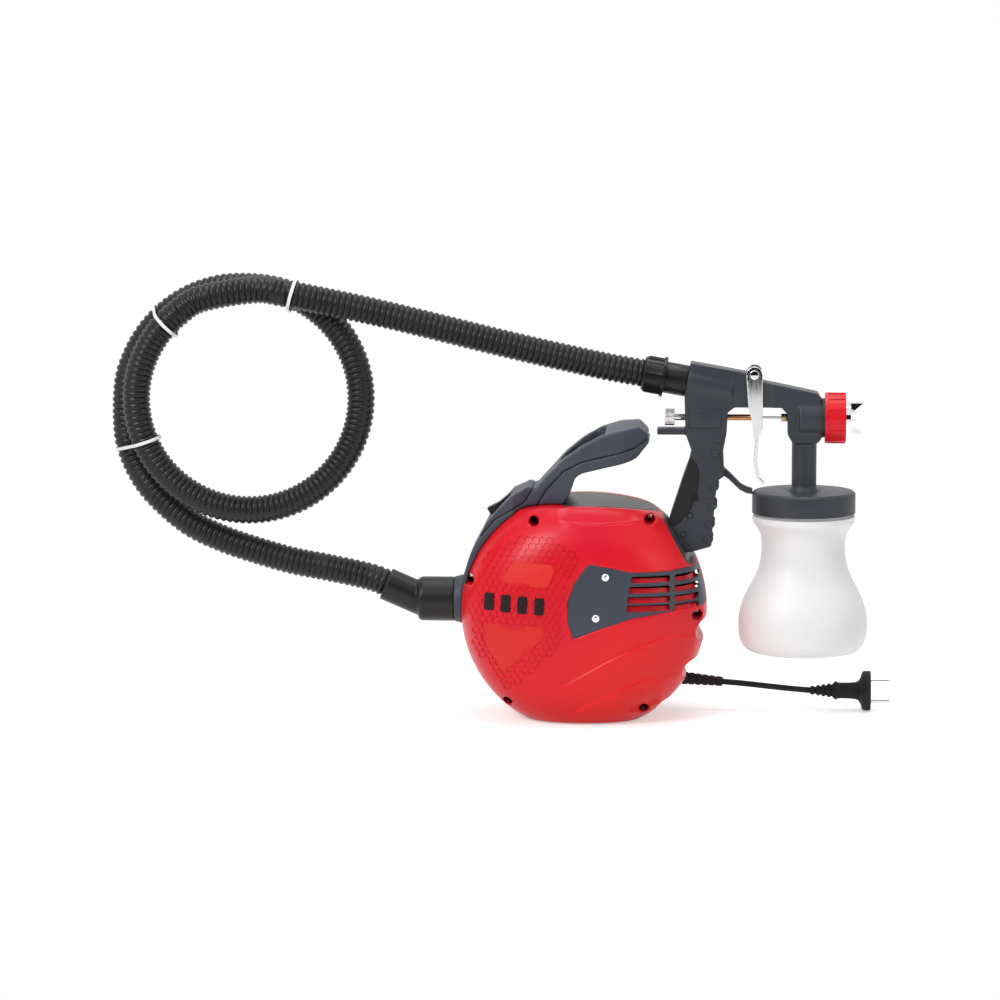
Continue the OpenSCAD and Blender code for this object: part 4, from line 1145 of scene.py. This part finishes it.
def floor_paint():
    """Pale paint with a slight glow, which turns plain white away from the sprayer."""
    material = bpy.data.materials.new("floor")
    material.use_nodes = True
    tree = material.node_tree
    shader = tree.nodes["Principled BSDF"]
    shader.inputs["Base Color"].default_value = (0.9, 0.9, 0.9, 1)
    shader.inputs["Roughness"].default_value = 0.6
    shader.inputs["Specular IOR Level"].default_value = 0.2
    shader.inputs["Emission Color"].default_value = (1, 1, 1, 1)
    looked_at = seen_rays(tree)
    tree.links.new(combined(tree, "MULTIPLY", looked_at, FLOOR_GLOW), shader.inputs["Emission Strength"])
    place = tree.nodes.new("ShaderNodeTexCoord")
    reach = tree.nodes.new("ShaderNodeVectorMath")
    reach.operation = "LENGTH"
    tree.links.new(place.outputs["Object"], reach.inputs[0])
    fade = combined(tree, "MULTIPLY", mapped(tree, reach.outputs["Value"], FLOOR_FADE), looked_at)
    join = tree.nodes.new("ShaderNodeMixShader")
    tree.links.new(fade, join.inputs["Fac"])
    tree.links.new(shader.outputs[0], join.inputs[1])
    tree.links.new(tree.nodes.new("ShaderNodeEmission").outputs[0], join.inputs[2])
    tree.links.new(join.outputs[0], tree.nodes["Material Output"].inputs["Surface"])
    return material


def studio_world():
    """White where it is looked at. As light it is dim at the horizon and brighter overhead."""
    world = bpy.data.worlds.new("studio")
    world.use_nodes = True
    tree = world.node_tree
    background = tree.nodes["Background"]
    background.inputs["Color"].default_value = (1, 1, 1, 1)
    place = tree.nodes.new("ShaderNodeTexCoord")
    parts = tree.nodes.new("ShaderNodeSeparateXYZ")
    tree.links.new(place.outputs["Generated"], parts.inputs[0])
    mix = tree.nodes.new("ShaderNodeMix")
    mix.data_type = "FLOAT"
    mix.inputs["B"].default_value = 1.0
    tree.links.new(mapped(tree, parts.outputs["Z"], (0.0, 0.9), SKY_LIGHT), mix.inputs["A"])
    tree.links.new(seen_rays(tree), mix.inputs["Factor"])
    tree.links.new(mix.outputs["Result"], background.inputs["Strength"])
    return world


def flag_paint():
    """Dull black."""
    material = bpy.data.materials.new("flag_black")
    material.use_nodes = True
    shader = material.node_tree.nodes["Principled BSDF"]
    shader.inputs["Base Color"].default_value = (0.02, 0.02, 0.02, 1)
    shader.inputs["Specular IOR Level"].default_value = 0.0
    return material


def soft_light(name, place, aim, size, watts):
    """A large square light that points at aim."""
    data = bpy.data.lights.new(name, "AREA")
    data.shape = "SQUARE"
    data.size = size
    data.energy = watts
    obj = bpy.data.objects.new(name, data)
    obj.location = place
    obj.rotation_mode = "QUATERNION"
    obj.rotation_quaternion = (Vector(aim) - Vector(place)).to_track_quat("-Z", "Y")
    bpy.context.scene.collection.objects.link(obj)
    return obj


floor = plane("floor", 30, (0, 0, -0.0002))
floor.data.materials.append(floor_paint())
floor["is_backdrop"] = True
bpy.context.scene.world = studio_world()

flag = plane("dark_flag", 1, (0.05, -1.25, 0.56), (math.pi / 2, 0, 0))
flag.scale = (2.3, 0.78, 1)
flag.visible_camera = flag.visible_diffuse = flag.visible_shadow = flag.visible_transmission = False
flag.data.materials.append(flag_paint())
flag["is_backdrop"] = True

soft_light("key", (-1.3, -1.7, 1.6), (-0.05, 0, 0.15), 0.9, 34)
soft_light("fill", (1.8, -1.3, 0.9), (0, 0, 0.15), 1.2, 8)
soft_light("top", (0.1, 0.1, 2.0), (-0.05, 0, 0.1), 1.2, 18)
bpy.context.scene.view_settings.view_transform = "Standard"

# %% [markdown]
# ## Measure and finish
# The size of the finished sprayer is printed next to the CAD size, so the two can be compared.

# %% Finish
seen_low, seen_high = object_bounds()
for name, low, high in (("CAD", cad_low, cad_high), ("visual", seen_low, seen_high)):
    print(name, "box:", [round(c, 4) for c in low], [round(c, 4) for c in high])
